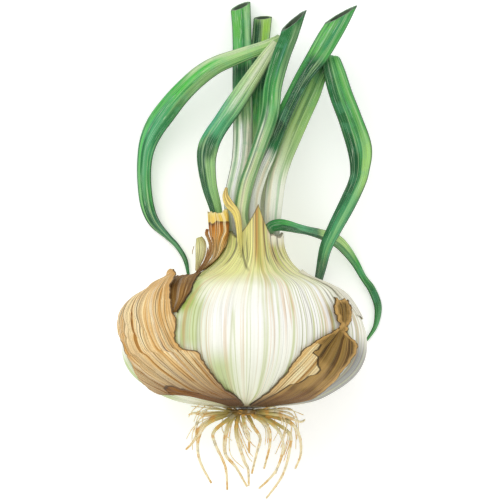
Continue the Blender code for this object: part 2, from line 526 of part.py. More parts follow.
def make_roots():
    """Root plate with its roots, made one solid by a Boolean union."""
    chance = random.Random(ROOT_SEED)
    plate_end = BULB_PROFILE[0][0] - PLATE_GAP
    plate_middle = bulb_point(plate_end - PLATE_DEPTH / 2, 0.0, 0.0)
    bm = bmesh.new()
    bmesh.ops.create_cone(bm, cap_ends=True, segments=14, radius1=PLATE_RADIUS * 0.72,
                          radius2=PLATE_RADIUS, depth=PLATE_DEPTH)
    tilt = math.pi / 2 + AXIS_TILT
    for vertex in bm.verts:
        x, y, z = vertex.co
        vertex.co = Vector((x, z * math.cos(AXIS_TILT) + y * math.sin(AXIS_TILT),
                            y * math.cos(AXIS_TILT) - z * math.sin(AXIS_TILT))) + plate_middle
    plate_mesh = mesh_from(bm, "root_plate")
    plate = bpy.data.objects.new("root_plate", plate_mesh)
    bpy.context.scene.collection.objects.link(plate)
    threads = bpy.data.collections.new("root_threads")
    bpy.context.scene.collection.children.link(threads)
    for number, (start_across, route) in enumerate(ROOT_ROUTES):
        threads.objects.link(root_tube(f"root_thread_{number}", start_across, route, chance, plate_middle))
    union = plate.modifiers.new("Fuse the roots", "BOOLEAN")
    union.operation = "UNION"
    union.operand_type = "COLLECTION"
    union.collection = threads
    union.solver = "MANIFOLD"
    drawn = plate.evaluated_get(bpy.context.evaluated_depsgraph_get())
    fused = bpy.data.meshes.new_from_object(drawn)
    for thread in list(threads.objects):
        bpy.data.objects.remove(thread)
    bpy.data.collections.remove(threads)
    bpy.data.objects.remove(plate)
    return new_object("root_tuft", fused, finish_material("root_fibre", (0.76, 0.55, 0.30), 0.7))


for old in list(bpy.data.objects):
    bpy.data.objects.remove(old)
ONION = bpy.data.collections.new("onion")
bpy.context.scene.collection.children.link(ONION)
make_bulb()
make_roots()
make_leaves()
make_neck_sheaths()
make_skins()
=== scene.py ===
import math
import random

import bpy
import numpy as np
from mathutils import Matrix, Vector


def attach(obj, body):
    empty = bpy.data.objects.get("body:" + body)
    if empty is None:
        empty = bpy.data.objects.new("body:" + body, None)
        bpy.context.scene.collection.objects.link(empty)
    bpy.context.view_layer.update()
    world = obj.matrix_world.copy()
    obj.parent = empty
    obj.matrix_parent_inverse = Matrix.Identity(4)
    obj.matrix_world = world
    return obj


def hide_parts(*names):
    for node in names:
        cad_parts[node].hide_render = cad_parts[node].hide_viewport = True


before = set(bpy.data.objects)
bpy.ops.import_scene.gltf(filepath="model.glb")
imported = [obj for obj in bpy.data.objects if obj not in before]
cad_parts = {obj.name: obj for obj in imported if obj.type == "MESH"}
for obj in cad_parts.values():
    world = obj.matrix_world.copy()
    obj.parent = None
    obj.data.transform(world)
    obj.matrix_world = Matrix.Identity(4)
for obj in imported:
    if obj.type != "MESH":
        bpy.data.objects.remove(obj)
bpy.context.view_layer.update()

MM = 0.001

# The photograph's frame: how wide the view is, and its middle measured from the bulb's widest ring, in mm
VIEW_WIDTH = 162.5
VIEW_MIDDLE = (1.6, 29.2)
MIDDLE_PLANE = 40.0
LENS = 1000.0
SENSOR = 36.0

FLOOR_SIZE = 12.0
FLOOR_LEVEL = -0.0004
FLOOR_GLOW = 0.26
STUDIO_LIGHT = 0.62
# The lamps' names, strengths and turns
LAMPS = [("key", 1.15, (-0.35, -0.3, 0.0)), ("fill", 0.4, (0.4, 0.4, 0.0))]
LAMP_SOFTNESS = 1.0

# The bulb, in millimetres, as the solids have it
BULB_RADIUS = 39.8
AXIS_TILT = math.radians(6.0)
FLAT_DEPTH = 0.8
NECK_SHIFT = 3.0
LOBE_COUNT = 7
LOBE_DEPTH = 0.35
COLLAR_RIM = 33.8
COLLAR_RADIUS = 9.6
NECK_STEP = 4.5
SOCKET_RADIUS = 8.9
SOCKET_FLOOR = 27.8
FLAP_HEIGHT = 9.6
FLAP_ANGLE = 8.0
FLAP_SPREAD_LEFT = 40.0
FLAP_SPREAD_RIGHT = 27.0
FLAP_CURVE = 1.5
RIM_RAGGEDNESS = 0.7
BULB_PROFILE = [
    (-22.3, 0), (-22.2, 4), (-21.5, 10), (-19.8, 21.8), (-16.9, 28.7), (-12, 35.6),
    (-6.5, 39.1), (0, BULB_RADIUS), (5.85, 38.4), (10.7, 35.3), (15, 31), (18, 25.2),
    (20.8, 18.4), (25, 12.9), (29.3, 10.2), (COLLAR_RIM, COLLAR_RADIUS),
]
# Creases below the collar, darkened on the flesh as painted shade: place and angle where each starts and
# stops, and how wide it is
CREASES = [
    ((14.3, -27), (12, -3), 1.6), ((14.2, -36), (12.6, -37), 1.5),
    ((14.6, 18), (12.6, 22), 1.4), ((14.7, 33), (12.9, 36), 1.3),
    ((14, -14), (12.8, -8), 1.2), ((14.8, 50), (13, 52), 1.6),
]
RIM_PLACE = 15.0
BULB_ROUND = 360
BULB_ROWS = 150
RIB_DEPTH = 0.14

# How finely leaves are made, and the small measures of leaves and skins in millimetres
LEAF_ROUND = 40
LEAF_STEPS = 14
TUBE_WALL = 0.8
BORE_DEPTH = 9.0
RIDGE_DEPTH = 0.07
LEAF_INSET = 0.06
SKIN_THICKNESS = 0.35
FOLD_DEPTH = 0.16
SKIN_GAP = 0.16
# What the layer mark says on a skin of one layer
NO_LAYER = -9.0

COAT_ROUGHNESS = 0.25
BUMP_STRENGTH = 0.6
# Share of white in the painted highlight on the crests of a dry skin
CREST_HIGHLIGHT = 0.2


def curve_point(before, here, ahead, after, t):
    """Point of a Catmull-Rom curve at a share t of the way from here to ahead."""
    return 0.5 * (2 * here + (ahead - before) * t + (2 * before - 5 * here + 4 * ahead - after) * t ** 2
                  + (3 * here - before - 3 * ahead + after) * t ** 3)


def smooth_rows(rows, steps):
    """Rows of a Catmull-Rom curve through the given rows, with this many steps to each stretch."""
    rows = np.array(rows, dtype=float)
    last = len(rows) - 1
    out = []
    for place in range(last):
        window = (rows[max(place - 1, 0)], rows[place], rows[place + 1], rows[min(place + 2, last)])
        out.extend(curve_point(*window, step / steps) for step in range(steps))
    out.append(rows[last])
    return out


def profile_at(place):
    """Height and radius of the bulb at a place along its profile, counted in profile points."""
    beyond = place - (len(BULB_PROFILE) - 1)
    if beyond > 0:
        return np.array((COLLAR_RIM + beyond * NECK_STEP, COLLAR_RADIUS))
    start = min(int(place), len(BULB_PROFILE) - 2)
    window = [BULB_PROFILE[min(max(start + k, 0), len(BULB_PROFILE) - 1)] for k in (-1, 0, 1, 2)]
    return curve_point(*(np.array(point) for point in window), place - start)


def lowest_place():
    """How far under the bulb's middle its lowest point is, and how far towards the roots."""
    found = (0.0, 0.0)
    for step in range(150):
        along, radius = profile_at(step / 10)
        depth = along * math.sin(AXIS_TILT) + radius * math.cos(AXIS_TILT)
        back = radius * math.sin(AXIS_TILT) - along * math.cos(AXIS_TILT)
        found = max(found, (depth, back))
    return found


BULB_DEPTH, REST_SHIFT = lowest_place()
AXIS_HEIGHT = BULB_DEPTH - FLAT_DEPTH


def ease(low, high, value):
    """Smooth step from 0 at low to 1 at high, for numbers and arrays."""
    t = np.clip((value - low) / (high - low), 0.0, 1.0)
    return t * t * (3 - 2 * t)


def bulb_point(along, radius, angle):
    """Points at a height on the axis, a radius, and an angle from the top, for numbers and arrays."""
    across = NECK_SHIFT * ease(5.0, 30.0, along) + radius * np.sin(angle)
    rise = radius * np.cos(angle)
    forward = along * math.cos(AXIS_TILT) + rise * math.sin(AXIS_TILT)
    height = AXIS_HEIGHT - along * math.sin(AXIS_TILT) + rise * math.cos(AXIS_TILT)
    return np.stack((across, forward, height), axis=-1)


def wander(seed, count, places):
    """A smooth wavy line between about -1 and 1, read at places counted in its own waves."""
    chance = random.Random(seed)
    waves = [(chance.uniform(0.6, 1.0) * 1.7 ** k, chance.uniform(0, 2 * math.pi)) for k in range(count)]
    total = sum(np.sin(places * rate + start) / (1 + 0.6 * k) for k, (rate, start) in enumerate(waves))
    return total / 1.8


def looks_out(points, closed):
    """True where the rows and columns of points give faces that look out of the tube or off the bulb."""
    row = len(points) // 2
    if closed:
        centre = points[row].mean(axis=0)
        ahead = points[row + 1].mean(axis=0) - centre
        return np.dot(np.cross(points[row, 0] - centre, points[row, 1] - centre), ahead) > 0
    middle = points[row, points.shape[1] // 2]
    across = points[row, points.shape[1] // 2 + 1] - middle
    along = points[row + 1, points.shape[1] // 2] - middle
    return np.dot(np.cross(across, along), middle - bulb_point(0.0, 0.0, 0.0)) >= 0


def grid_piece(name, points, strand, marks, closed, node, finish):
    """Smooth piece from rows of points, with the values that its finish is painted by.

    The three values of strand run across and along the fibres. The marks are further named values of each
    point. A closed piece is a tube with both of its ends filled.
    """
    rows, columns = points.shape[:2]
    order = slice(None) if looks_out(points, closed) else slice(None, None, -1)
    points = (points + np.array((0.0, REST_SHIFT, 0.0)))[:, order]
    faces = []
    for low in range(0, (rows - 1) * columns, columns):
        for column in range(columns if closed else columns - 1):
            right = (column + 1) % columns
            faces.append((low + column, low + right, low + columns + right, low + columns + column))
    if closed:
        faces.append(tuple(reversed(range(columns))))
        faces.append(tuple(range((rows - 1) * columns, rows * columns)))
    mesh = bpy.data.meshes.new(name)
    mesh.from_pydata((points.reshape(-1, 3) * MM).tolist(), [], faces)
    painted = mesh.attributes.new("strand", "FLOAT_VECTOR", "POINT")
    strand = np.stack([np.broadcast_to(part, (rows, columns))[:, order] for part in strand], axis=-1)
    painted.data.foreach_set("vector", strand.reshape(-1).astype(np.float32))
    for mark, values in marks.items():
        painted = mesh.attributes.new(mark, "FLOAT", "POINT")
        values = np.broadcast_to(values, (rows, columns))[:, order]
        painted.data.foreach_set("value", values.reshape(-1).astype(np.float32))
    mesh.shade_smooth()
    mesh.materials.append(finish)
    piece = bpy.data.objects.new(name, mesh)
    bpy.context.scene.collection.objects.link(piece)
    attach(piece, "root")
    if node:
        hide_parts(node)
    return piece


class Reading:
    """A socket that can be used in sums."""

    def __init__(self, paint, socket):
        self.paint = paint
        self.socket = socket

    def sum(self, operation, first, second):
        return self.paint.node("ShaderNodeMath", 0, {"operation": operation}, {0: first, 1: second})

    def __add__(self, other):
        return self.sum("ADD", self, other)

    def __radd__(self, other):
        return self.sum("ADD", other, self)

    def __sub__(self, other):
        return self.sum("SUBTRACT", self, other)

    def __rsub__(self, other):
        return self.sum("SUBTRACT", other, self)

    def __mul__(self, other):
        return self.sum("MULTIPLY", self, other)

    def __rmul__(self, other):
        return self.sum("MULTIPLY", other, self)

    def __truediv__(self, other):
        return self.sum("DIVIDE", self, other)

    def __abs__(self):
        return self.sum("ABSOLUTE", self, 0.0)

    def up_to(self, other):
        return self.sum("MINIMUM", self, other)

    def at_least(self, other):
        return self.sum("MAXIMUM", self, other)

    def between(self, low, high):
        """0 below low and 1 above high, smooth between. Low above high turns it round."""
        flipped = low > high
        return self.paint.node("ShaderNodeMapRange", "Result", {"interpolation_type": "SMOOTHSTEP"}, {
            "Value": self, "From Min": min(low, high), "From Max": max(low, high),
            "To Min": 1.0 if flipped else 0.0, "To Max": 0.0 if flipped else 1.0})

    def within(self, low, high, soft):
        """1 between low and high and 0 outside them, with soft ends."""
        return self.between(low - soft, low + soft) * self.between(high + soft, high - soft)


def tone(red, green, blue, white=0.0):
    """Colour from the eight-bit values that a screen shows, with a share of white in it."""
    parts = []
    for value in (red, green, blue):
        share = value / 255
        part = share / 12.92 if share <= 0.04045 else ((share + 0.055) / 1.055) ** 2.4
        parts.append((1 - white) * part + white)
    return (*parts, 1.0)


class Paint:
    """A finish painted by the values on a mesh, with the colour that it has so far."""

    def __init__(self, name, roughness, coat=0.0, gloss=0.35):
        self.material = bpy.data.materials.new(name)
        self.material.use_nodes = True
        self.tree = self.material.node_tree
        self.shader = self.tree.nodes["Principled BSDF"]
        self.shader.inputs["Roughness"].default_value = roughness
        self.shader.inputs["Coat Weight"].default_value = coat
        self.shader.inputs["Coat Roughness"].default_value = COAT_ROUGHNESS
        self.shader.inputs["Specular IOR Level"].default_value = gloss
        self.colour = None

    def node(self, kind, output, settings, sockets):
        """Output of a new node, its settings made first, then its sockets set or linked."""
        node = self.tree.nodes.new(kind)
        for setting, value in settings.items():
            if setting == "stops":
                elements = node.color_ramp.elements
                for place, colour in value[1:-1]:
                    elements.new(place).color = colour
                elements[0].position, elements[0].color = value[0]
                elements[-1].position, elements[-1].color = value[-1]
            else:
                setattr(node, setting, value)
        for socket, value in sockets.items():
            self.feed(node.inputs[socket], value)
        return Reading(self, node.outputs[output])

    def feed(self, socket, value):
        """Link or number or colour into a socket."""
        if isinstance(value, Reading):
            self.tree.links.new(value.socket, socket)
        else:
            socket.default_value = value

    def mark(self, name):
        """One of the mesh's own values."""
        return self.node("ShaderNodeAttribute", "Fac", {"attribute_name": name}, {})

    def clouds(self, place, scale, offset, detail, roughness=0.55):
        """Soft noise between 0 and 1, at a place times a scale."""
        place = self.node("ShaderNodeVectorMath", "Vector", {"operation": "MULTIPLY_ADD"},
                          {0: place, 1: scale, 2: offset})
        return self.node("ShaderNodeTexNoise", "Fac", {},
                         {"Vector": place, "Scale": 1.0, "Detail": detail, "Roughness": roughness})

    def fibres(self, across, along, detail=3.0, offset=0.0, roughness=0.55):
        """Noise along the fibres, with this many waves to a unit across them and along them."""
        strand = self.node("ShaderNodeAttribute", "Vector", {"attribute_name": "strand"}, {})
        offsets = (offset, offset * 0.7, offset * 1.3)
        return self.clouds(strand, (across, across, along), offsets, detail, roughness)

    def specks(self, scale, detail, offset=0.0):
        """Noise in the object, with this many waves to a millimetre."""
        place = self.node("ShaderNodeTexCoord", "Object", {}, {})
        return self.clouds(place, (scale / MM,) * 3, (offset,) * 3, detail)

    def hairlines(self, across, along, offset, width):
        """Thin lines where a noise along the fibres crosses its middle value."""
        return abs(self.fibres(across, along, 2.0, offset, 0.5) - 0.5).between(width, 0.0)

    def ramp(self, value, stops):
        """Colour along a value, by stops in their order."""
        stops = [(place, tone(*colour)) for place, colour in stops]
        return self.node("ShaderNodeValToRGB", "Color", {"stops": stops}, {"Fac": value})

    def lay(self, share, over):
        """Lay a colour over the one so far, by a share from 0 to 1."""
        over = over if isinstance(over, Reading) else tone(*over)
        sockets = {"Factor": share, 6: self.colour, 7: over}
        self.colour = self.node("ShaderNodeMix", 2, {"data_type": "RGBA"}, sockets)

    def finish(self, relief=None, depth=0.1, roughness=None):
        """The colour so far, the roughness and the relief into the shader."""
        self.feed(self.shader.inputs["Base Color"], self.colour)
        if roughness is not None:
            self.feed(self.shader.inputs["Roughness"], roughness)
        if relief is not None:
            bump = self.node("ShaderNodeBump", "Normal", {},
                             {"Height": relief, "Strength": BUMP_STRENGTH, "Distance": depth * MM})
            self.feed(self.shader.inputs["Normal"], bump)
        return self.material


def flesh_finish():
    """Pale flesh: cream with yellow-green, peach and grey fibres that meet at the roots and the neck, with
    painted shade on the lower right flank and in the creases below the collar, and painted highlight
    streaks round the middle.
    """
    paint = Paint("bulb_flesh", 0.38, coat=0.25)
    place, turn, lime = map(paint.mark, ("place", "turn", "lime"))
    crease, slate, rim = map(paint.mark, ("crease", "slate", "rim"))
    broad = paint.fibres(5.0, 0.03, 2.0)
    bands = paint.fibres(13.0, 0.04, 2.0, 3.0)
    paint.colour = paint.ramp(place / RIM_PLACE, [
        (0, (150, 122, 84)), (0.09, (206, 200, 164)), (0.17, (232, 233, 204)),
        (0.26, (242, 244, 220)), (0.36, (250, 251, 236)), (0.5, (254, 254, 248)),
        (0.64, (254, 254, 244)), (0.72, (252, 251, 224)), (0.79, (254, 252, 192)),
        (0.87, (255, 252, 168)), (0.94, (248, 236, 146)), (1, (236, 212, 124))])
    off_middle = abs(turn + 0.01).between(0.05, 0.24)
    paint.lay(broad.between(0.5, 0.66) * (0.1 + 0.45 * off_middle), (234, 238, 190))
    paint.lay(bands.between(0.56, 0.72) * (0.1 + 0.3 * off_middle), (246, 232, 200))
    paint.lay(bands.between(0.42, 0.3) * off_middle * 0.35, (206, 208, 176))
    right = turn.between(0.15, 0.4) * place.between(13.0, 9.5)
    paint.lay(right * 0.3, (228, 224, 190))
    paint.lay(right * bands.between(0.52, 0.42) * 0.5, (186, 186, 150))
    glow = place.between(8.0, 12.0) * turn.between(0.1, -0.12)
    paint.lay(glow * 0.55, (240, 244, 150))
    paint.lay(place.between(9.5, 12.5) * turn.between(-0.02, 0.14) * 0.4, (236, 230, 160))
    outer_left = turn.between(-0.34, -0.42) * place.between(2.6, 3.4) * place.between(6.6, 5.6)
    paint.lay(outer_left * (0.2 + 0.8 * broad.between(0.42, 0.55)), (172, 200, 92))
    paint.lay(lime * (0.78 + 0.22 * broad.between(0.4, 0.56)), (178, 200, 98))
    # painted shade: the lower right flank of the bulb darkened towards slate grey
    paint.lay(slate * (0.8 + 0.2 * bands.between(0.56, 0.44)), (58, 62, 72))
    rust = paint.fibres(4.0, 0.16, 3.0, 9.0).between(0.4, 0.54)
    rust = rust * place.between(11.8, 13.2) * turn.between(-0.02, 0.05) * turn.between(0.28, 0.16)
    paint.lay(rust * 0.85, (216, 164, 84))
    flame = abs(turn - 0.025).between(0.035, 0.012) * place.between(12.6, 14.0)
    paint.lay(flame * 0.75, (190, 122, 40))
    olive = paint.hairlines(10.0, 0.026, 5.0, 0.034)
    peach = paint.hairlines(11.0, 0.026, 15.0, 0.03)
    grey = paint.hairlines(13.0, 0.03, 25.0, 0.026)
    fine = paint.hairlines(34.0, 0.05, 35.0, 0.06)
    patchy = paint.fibres(2.5, 0.25, 2.0, 2.0).between(0.38, 0.6)
    ends = place.between(5.2, 2.6).at_least(0.7 * place.between(10.8, 13.0))
    paint.lay(olive * (0.22 + 0.24 * patchy + 0.4 * ends + 0.25 * off_middle), (172, 188, 84))
    paint.lay(peach * (0.16 + 0.26 * patchy + 0.3 * off_middle), (212, 168, 108))
    paint.lay(grey * (0.14 + 0.52 * off_middle + 0.5 * ends).up_to(0.9), (112, 106, 84))
    paint.lay(fine * (0.1 + 0.25 * off_middle + 0.25 * ends), (160, 154, 104))
    neck = place.between(11.6, 13.2)
    paint.lay(paint.hairlines(16.0, 0.05, 55.0, 0.035) * neck * 0.8, (92, 82, 48))
    paint.lay(bands.between(0.52, 0.64) * neck * 0.5, (190, 204, 104))
    paint.lay(bands.between(0.4, 0.3) * neck * 0.6, (242, 236, 196))
    pale_rim = (place + 1.4 * (bands - 0.5)).between(13.9, 14.6) * turn.between(0.12, 0.2)
    paint.lay(pale_rim * 0.85, (244, 240, 218))
    # painted shade: the creases below the collar darkened
    paint.lay(crease * 0.9, (70, 66, 46))
    paint.lay(rim * 0.75, (96, 86, 52))
    # painted highlight: white streaks across the middle of the bulb
    painted_highlight = paint.fibres(8.0, 0.05, 1.0, 45.0).between(0.6, 0.68)
    painted_highlight = painted_highlight * place.between(5.5, 7.0) * place.between(11.5, 10.0)
    paint.lay(painted_highlight * 0.8, (255, 255, 255))
    paint.lay(place.between(2.2, 0.9) * 0.8, (104, 80, 50))
    grain = paint.specks(1.6, 3.0)
    paint.lay(grain.between(0.5, 0.75) * 0.08, (200, 190, 150))
    relief = broad * 0.3 - olive * 0.4 - peach * 0.3 - grey * 0.6 - crease
    return paint.finish(relief, 0.14, 0.32 + 0.18 * bands)


def papery_finish(name, pale, warm, dark, under, edge_tone=(84, 66, 46), root_dark=(4.6, 2.0)):
    """Dry skin: folds with a painted highlight on their crests and painted shade in their valleys, in pale
    and warm brown, fine dark fibres, and a thin dark torn edge.

    The three tones of under are of the skin's other layer, from pale to dark, where it has one. The skin
    darkens towards the roots between the two places of root_dark, as painted shade.
    """
    paint = Paint(name, 0.6, gloss=0.15)
    edge, place, fold, layer = map(paint.mark, ("edge", "place", "fold", "layer"))
    streak = paint.fibres(1.5, 0.06, 2.0)
    second = paint.fibres(3.4, 0.1, 3.0, 4.0)
    # painted light and shade: fold crests pale to white, fold valleys dark
    fold_light = fold * 0.5 + 0.5 + 0.5 * (streak - 0.5)
    fold_light_stops = [(0.0, dark), (0.12, warm), (0.36, pale), (0.7, pale), (1.0, (*pale, CREST_HIGHLIGHT))]
    paint.colour = paint.ramp(fold_light, fold_light_stops)
    # the other layer takes painted light and shade from the folds too
    lower = paint.ramp(fold_light, [(0.0, under[2]), (0.3, under[1]), (0.62, under[0]), (1.0, under[0])])
    beneath = layer.between(-0.15, 0.15)
    paint.lay(beneath, lower)
    paint.lay(second.between(0.53, 0.64) * (0.6 - 0.35 * beneath), warm)
    paint.lay(second.between(0.44, 0.32) * (1 - beneath) * 0.5, (252, 238, 202))
    fine = paint.hairlines(8.0, 0.08, 8.0, 0.05)
    coarse = paint.hairlines(3.2, 0.05, 6.0, 0.028)
    paint.lay(fine * 0.7, dark)
    paint.lay(coarse * 0.85, edge_tone)
    wash = paint.specks(0.07, 2.0, 3.0)
    paint.lay(wash.between(0.5, 0.66) * 0.28, warm)
    paint.lay(wash.between(0.46, 0.34) * (1 - beneath) * 0.5, pale)
    # painted shade: the skin darkened towards the roots
    root_shade = (place + 4.0 * (second - 0.5)).between(*root_dark)
    paint.lay(root_shade * 0.85, dark)
    upper = (place + 3.0 * (streak - 0.5)).between(8.6, 10.6)
    paint.lay(upper * 0.35, warm)
    paint.lay(abs(layer).between(0.5, 0.12) * 0.85, edge_tone)
    warm_edge = (edge + 1.2 * (streak - 0.5)).between(3.0, 0.8) * (1 - root_shade)
    paint.lay(warm_edge * 0.6, warm)
    foot = (place + 2.0 * (second - 0.5)).between(3.4, 1.7)
    paint.lay(foot * 0.8, (72, 50, 24))
    paint.lay(edge.between(0.5, 0.15) * 0.85, edge_tone)
    grain = paint.specks(1.8, 2.0, 1.0)
    paint.lay(grain.between(0.52, 0.74) * 0.16, dark)
    relief = fold * 0.4 + second * 0.5 - fine * 0.4 - coarse * 0.8
    return paint.finish(relief, 0.25, 0.5 + 0.2 * second)


def leaf_finish(name, stops, places, seed):
    """Green leaf: colours along it, lighter and darker places on it, long fine fibres, painted highlight
    lines, and painted shade on its margins and inside its bore.

    A place is where it starts and ends along the leaf, where it starts and ends across it from -1 to 1,
    its colour and its strength. The stops and places hold the leaf's own colours and also painted
    highlights and painted shade.
    """
    paint = Paint(name, 0.42, coat=0.06, gloss=0.2)
    share, side, inside = map(paint.mark, ("share", "side", "inside"))
    stripe = paint.fibres(3.4, 0.022, 3.0, seed)
    wavy = share + 0.07 * (stripe - 0.5)
    across = side + 0.35 * (paint.fibres(2.0, 0.05, 3.0, seed + 3.0) - 0.5)
    paint.colour = paint.ramp(wavy, stops)
    green = share.between(0.1, 0.4)
    # places lay patches of the leaf's own colour, and painted highlights and painted shade across it
    for low, high, near, far, colour, strength in places:
        paint.lay(wavy.within(low, high, 0.03) * across.within(near, far, 0.12) * strength, colour)
    paint.lay(stripe.between(0.52, 0.66) * (0.12 + 0.52 * green), (26, 98, 52))
    paint.lay(stripe.between(0.45, 0.33) * (0.1 + 0.4 * green), (176, 220, 150))
    fine = paint.hairlines(9.0, 0.022, seed + 5.0, 0.03)
    paint.lay(fine * (0.25 + 0.35 * green), (40, 92, 56))
    # painted highlight: pale fine lines along the leaf
    painted_highlight = paint.hairlines(5.0, 0.02, seed + 9.0, 0.016)
    paint.lay(painted_highlight * 0.45, (226, 242, 214))
    wash = paint.specks(0.22, 3.0, seed)
    paint.lay(wash.between(0.5, 0.68) * green * 0.25, (96, 180, 130))
    grain = paint.specks(2.4, 2.0, seed)
    paint.lay(grain.between(0.52, 0.74) * 0.12, (28, 84, 50))
    # painted shade: the leaf's flanks darkened along its edges
    margin_shade = abs(side).between(0.93, 0.99)
    paint.lay(margin_shade * (0.5 + 0.3 * green), (40, 62, 42))
    # painted shade: the inside of a cut tube's bore darkened
    paint.lay(inside, (66, 84, 62))
    relief = stripe * 0.5 - fine * 0.6
    return paint.finish(relief, 0.1, 0.36 + 0.16 * stripe)


def dry_finish(name, stops):
    """Dry sheath: colours along it from its foot, with dark fibres and its flanks darkened as painted
    shade.
    """
    paint = Paint(name, 0.6, gloss=0.2)
    share = paint.mark("share")
    wavy = share + 0.25 * (paint.fibres(7.0, 0.2, 3.0, 2.0) - 0.5)
    paint.colour = paint.ramp(wavy, stops)
    fine = paint.hairlines(5.0, 0.05, 5.0, 0.05)
    coarse = paint.fibres(3.0, 0.06, 3.0, 8.0).between(0.52, 0.64)
    light = paint.fibres(4.0, 0.07, 2.0, 18.0).between(0.54, 0.66)
    paint.lay(coarse * 0.55, (128, 80, 36))
    paint.lay(light * 0.6, (246, 226, 172))
    paint.lay(fine * 0.7, (78, 56, 36))
    # painted shade: the sheath's flanks darkened along its edges
    margin_shade = abs(paint.mark("side")).between(0.9, 0.99)
    paint.lay(margin_shade * 0.7, (112, 84, 42))
    return paint.finish(coarse * 0.5 - fine * 0.5, 0.2, 0.5 + 0.1 * coarse)


def pocket_finish():
    """The dry pocket: yellow rim, a scalloped dark line under it, and orange-brown streaks below."""
    paint = Paint("pocket_sheath", 0.6, gloss=0.15)
    share = paint.mark("share")
    streak = paint.fibres(1.6, 0.04, 3.0, 2.0)
    scallop = share + 0.1 * (paint.fibres(0.9, 0.02, 1.0, 7.0) - 0.5)
    paint.colour = paint.ramp(scallop, [
        (0, (176, 128, 72)), (0.2, (236, 198, 136)), (0.42, (248, 206, 132)),
        (0.62, (240, 172, 76)), (0.8, (206, 130, 46)), (0.855, (84, 52, 24)),
        (0.865, (244, 206, 92)), (0.94, (252, 218, 104)), (1, (250, 236, 160))])
    below = scallop.between(0.87, 0.83)
    paint.lay(streak.between(0.56, 0.66) * below * 0.65, (136, 84, 32))
    paint.lay(streak.between(0.48, 0.38) * below * 0.8, (255, 234, 184))
    fine = paint.hairlines(4.0, 0.05, 5.0, 0.04)
    paint.lay(fine * (0.3 + 0.5 * below), (66, 44, 28))
    paint.lay(streak.between(0.5, 0.4) * (1 - below) * 0.7, (255, 240, 190))
    paint.lay(paint.mark("edge").between(0.45, 0.1) * 0.6, (120, 90, 48))
    return paint.finish(streak * 0.6 - fine * 0.6, 0.2, 0.5 + 0.1 * streak)


def root_finish():
    """Roots: cream to tan with darker stretches, brown at the plate."""
    paint = Paint("root_fibre", 0.7, gloss=0.12)
    share = paint.mark("share")
    paint.colour = paint.ramp(share, [
        (0, (98, 70, 44)), (0.07, (150, 130, 66)), (0.2, (214, 200, 128)),
        (0.36, (255, 244, 206)), (0.7, (255, 242, 200)), (1, (252, 232, 180))])
    patch = paint.specks(0.35, 3.0)
    paint.lay(patch.between(0.5, 0.64) * 0.75, (232, 178, 88))
    paint.lay(patch.between(0.44, 0.34) * 0.5, (176, 172, 150))
    fine = paint.hairlines(3.0, 0.2, 4.0, 0.05)
    paint.lay(fine * 0.45, (146, 104, 44))
    return paint.finish(patch - fine * 0.4, 0.1)


def collar_rise(angle):
    """How far the collar's torn rim stands above its plain height at angles from the top."""
    from_flap = np.degrees(np.arctan2(np.sin(angle), np.cos(angle))) - FLAP_ANGLE
    spread = np.where(from_flap > 0, FLAP_SPREAD_RIGHT, FLAP_SPREAD_LEFT)
    flap = FLAP_HEIGHT * np.maximum(0.0, 1 - np.abs(from_flap) / spread) ** FLAP_CURVE
    ragged = RIM_RAGGEDNESS * (np.sin(5 * angle + 0.6) + 0.6 * np.sin(11 * angle))
    torn = 0.35 * wander(4, 6, angle * 9)
    return flap + (ragged + torn) * (1 - np.minimum(flap, 1.0))


def band(value, start, full, fade, gone):
    """Rises smoothly from 0 at start to 1 at full, and falls from fade to 0 at gone."""
    return ease(start, full, value) * (1 - ease(fade, gone, value))


def bell(distance, spread):
    """1 in the middle and near 0 at twice the spread."""
    return np.exp(-(distance / spread) ** 2)


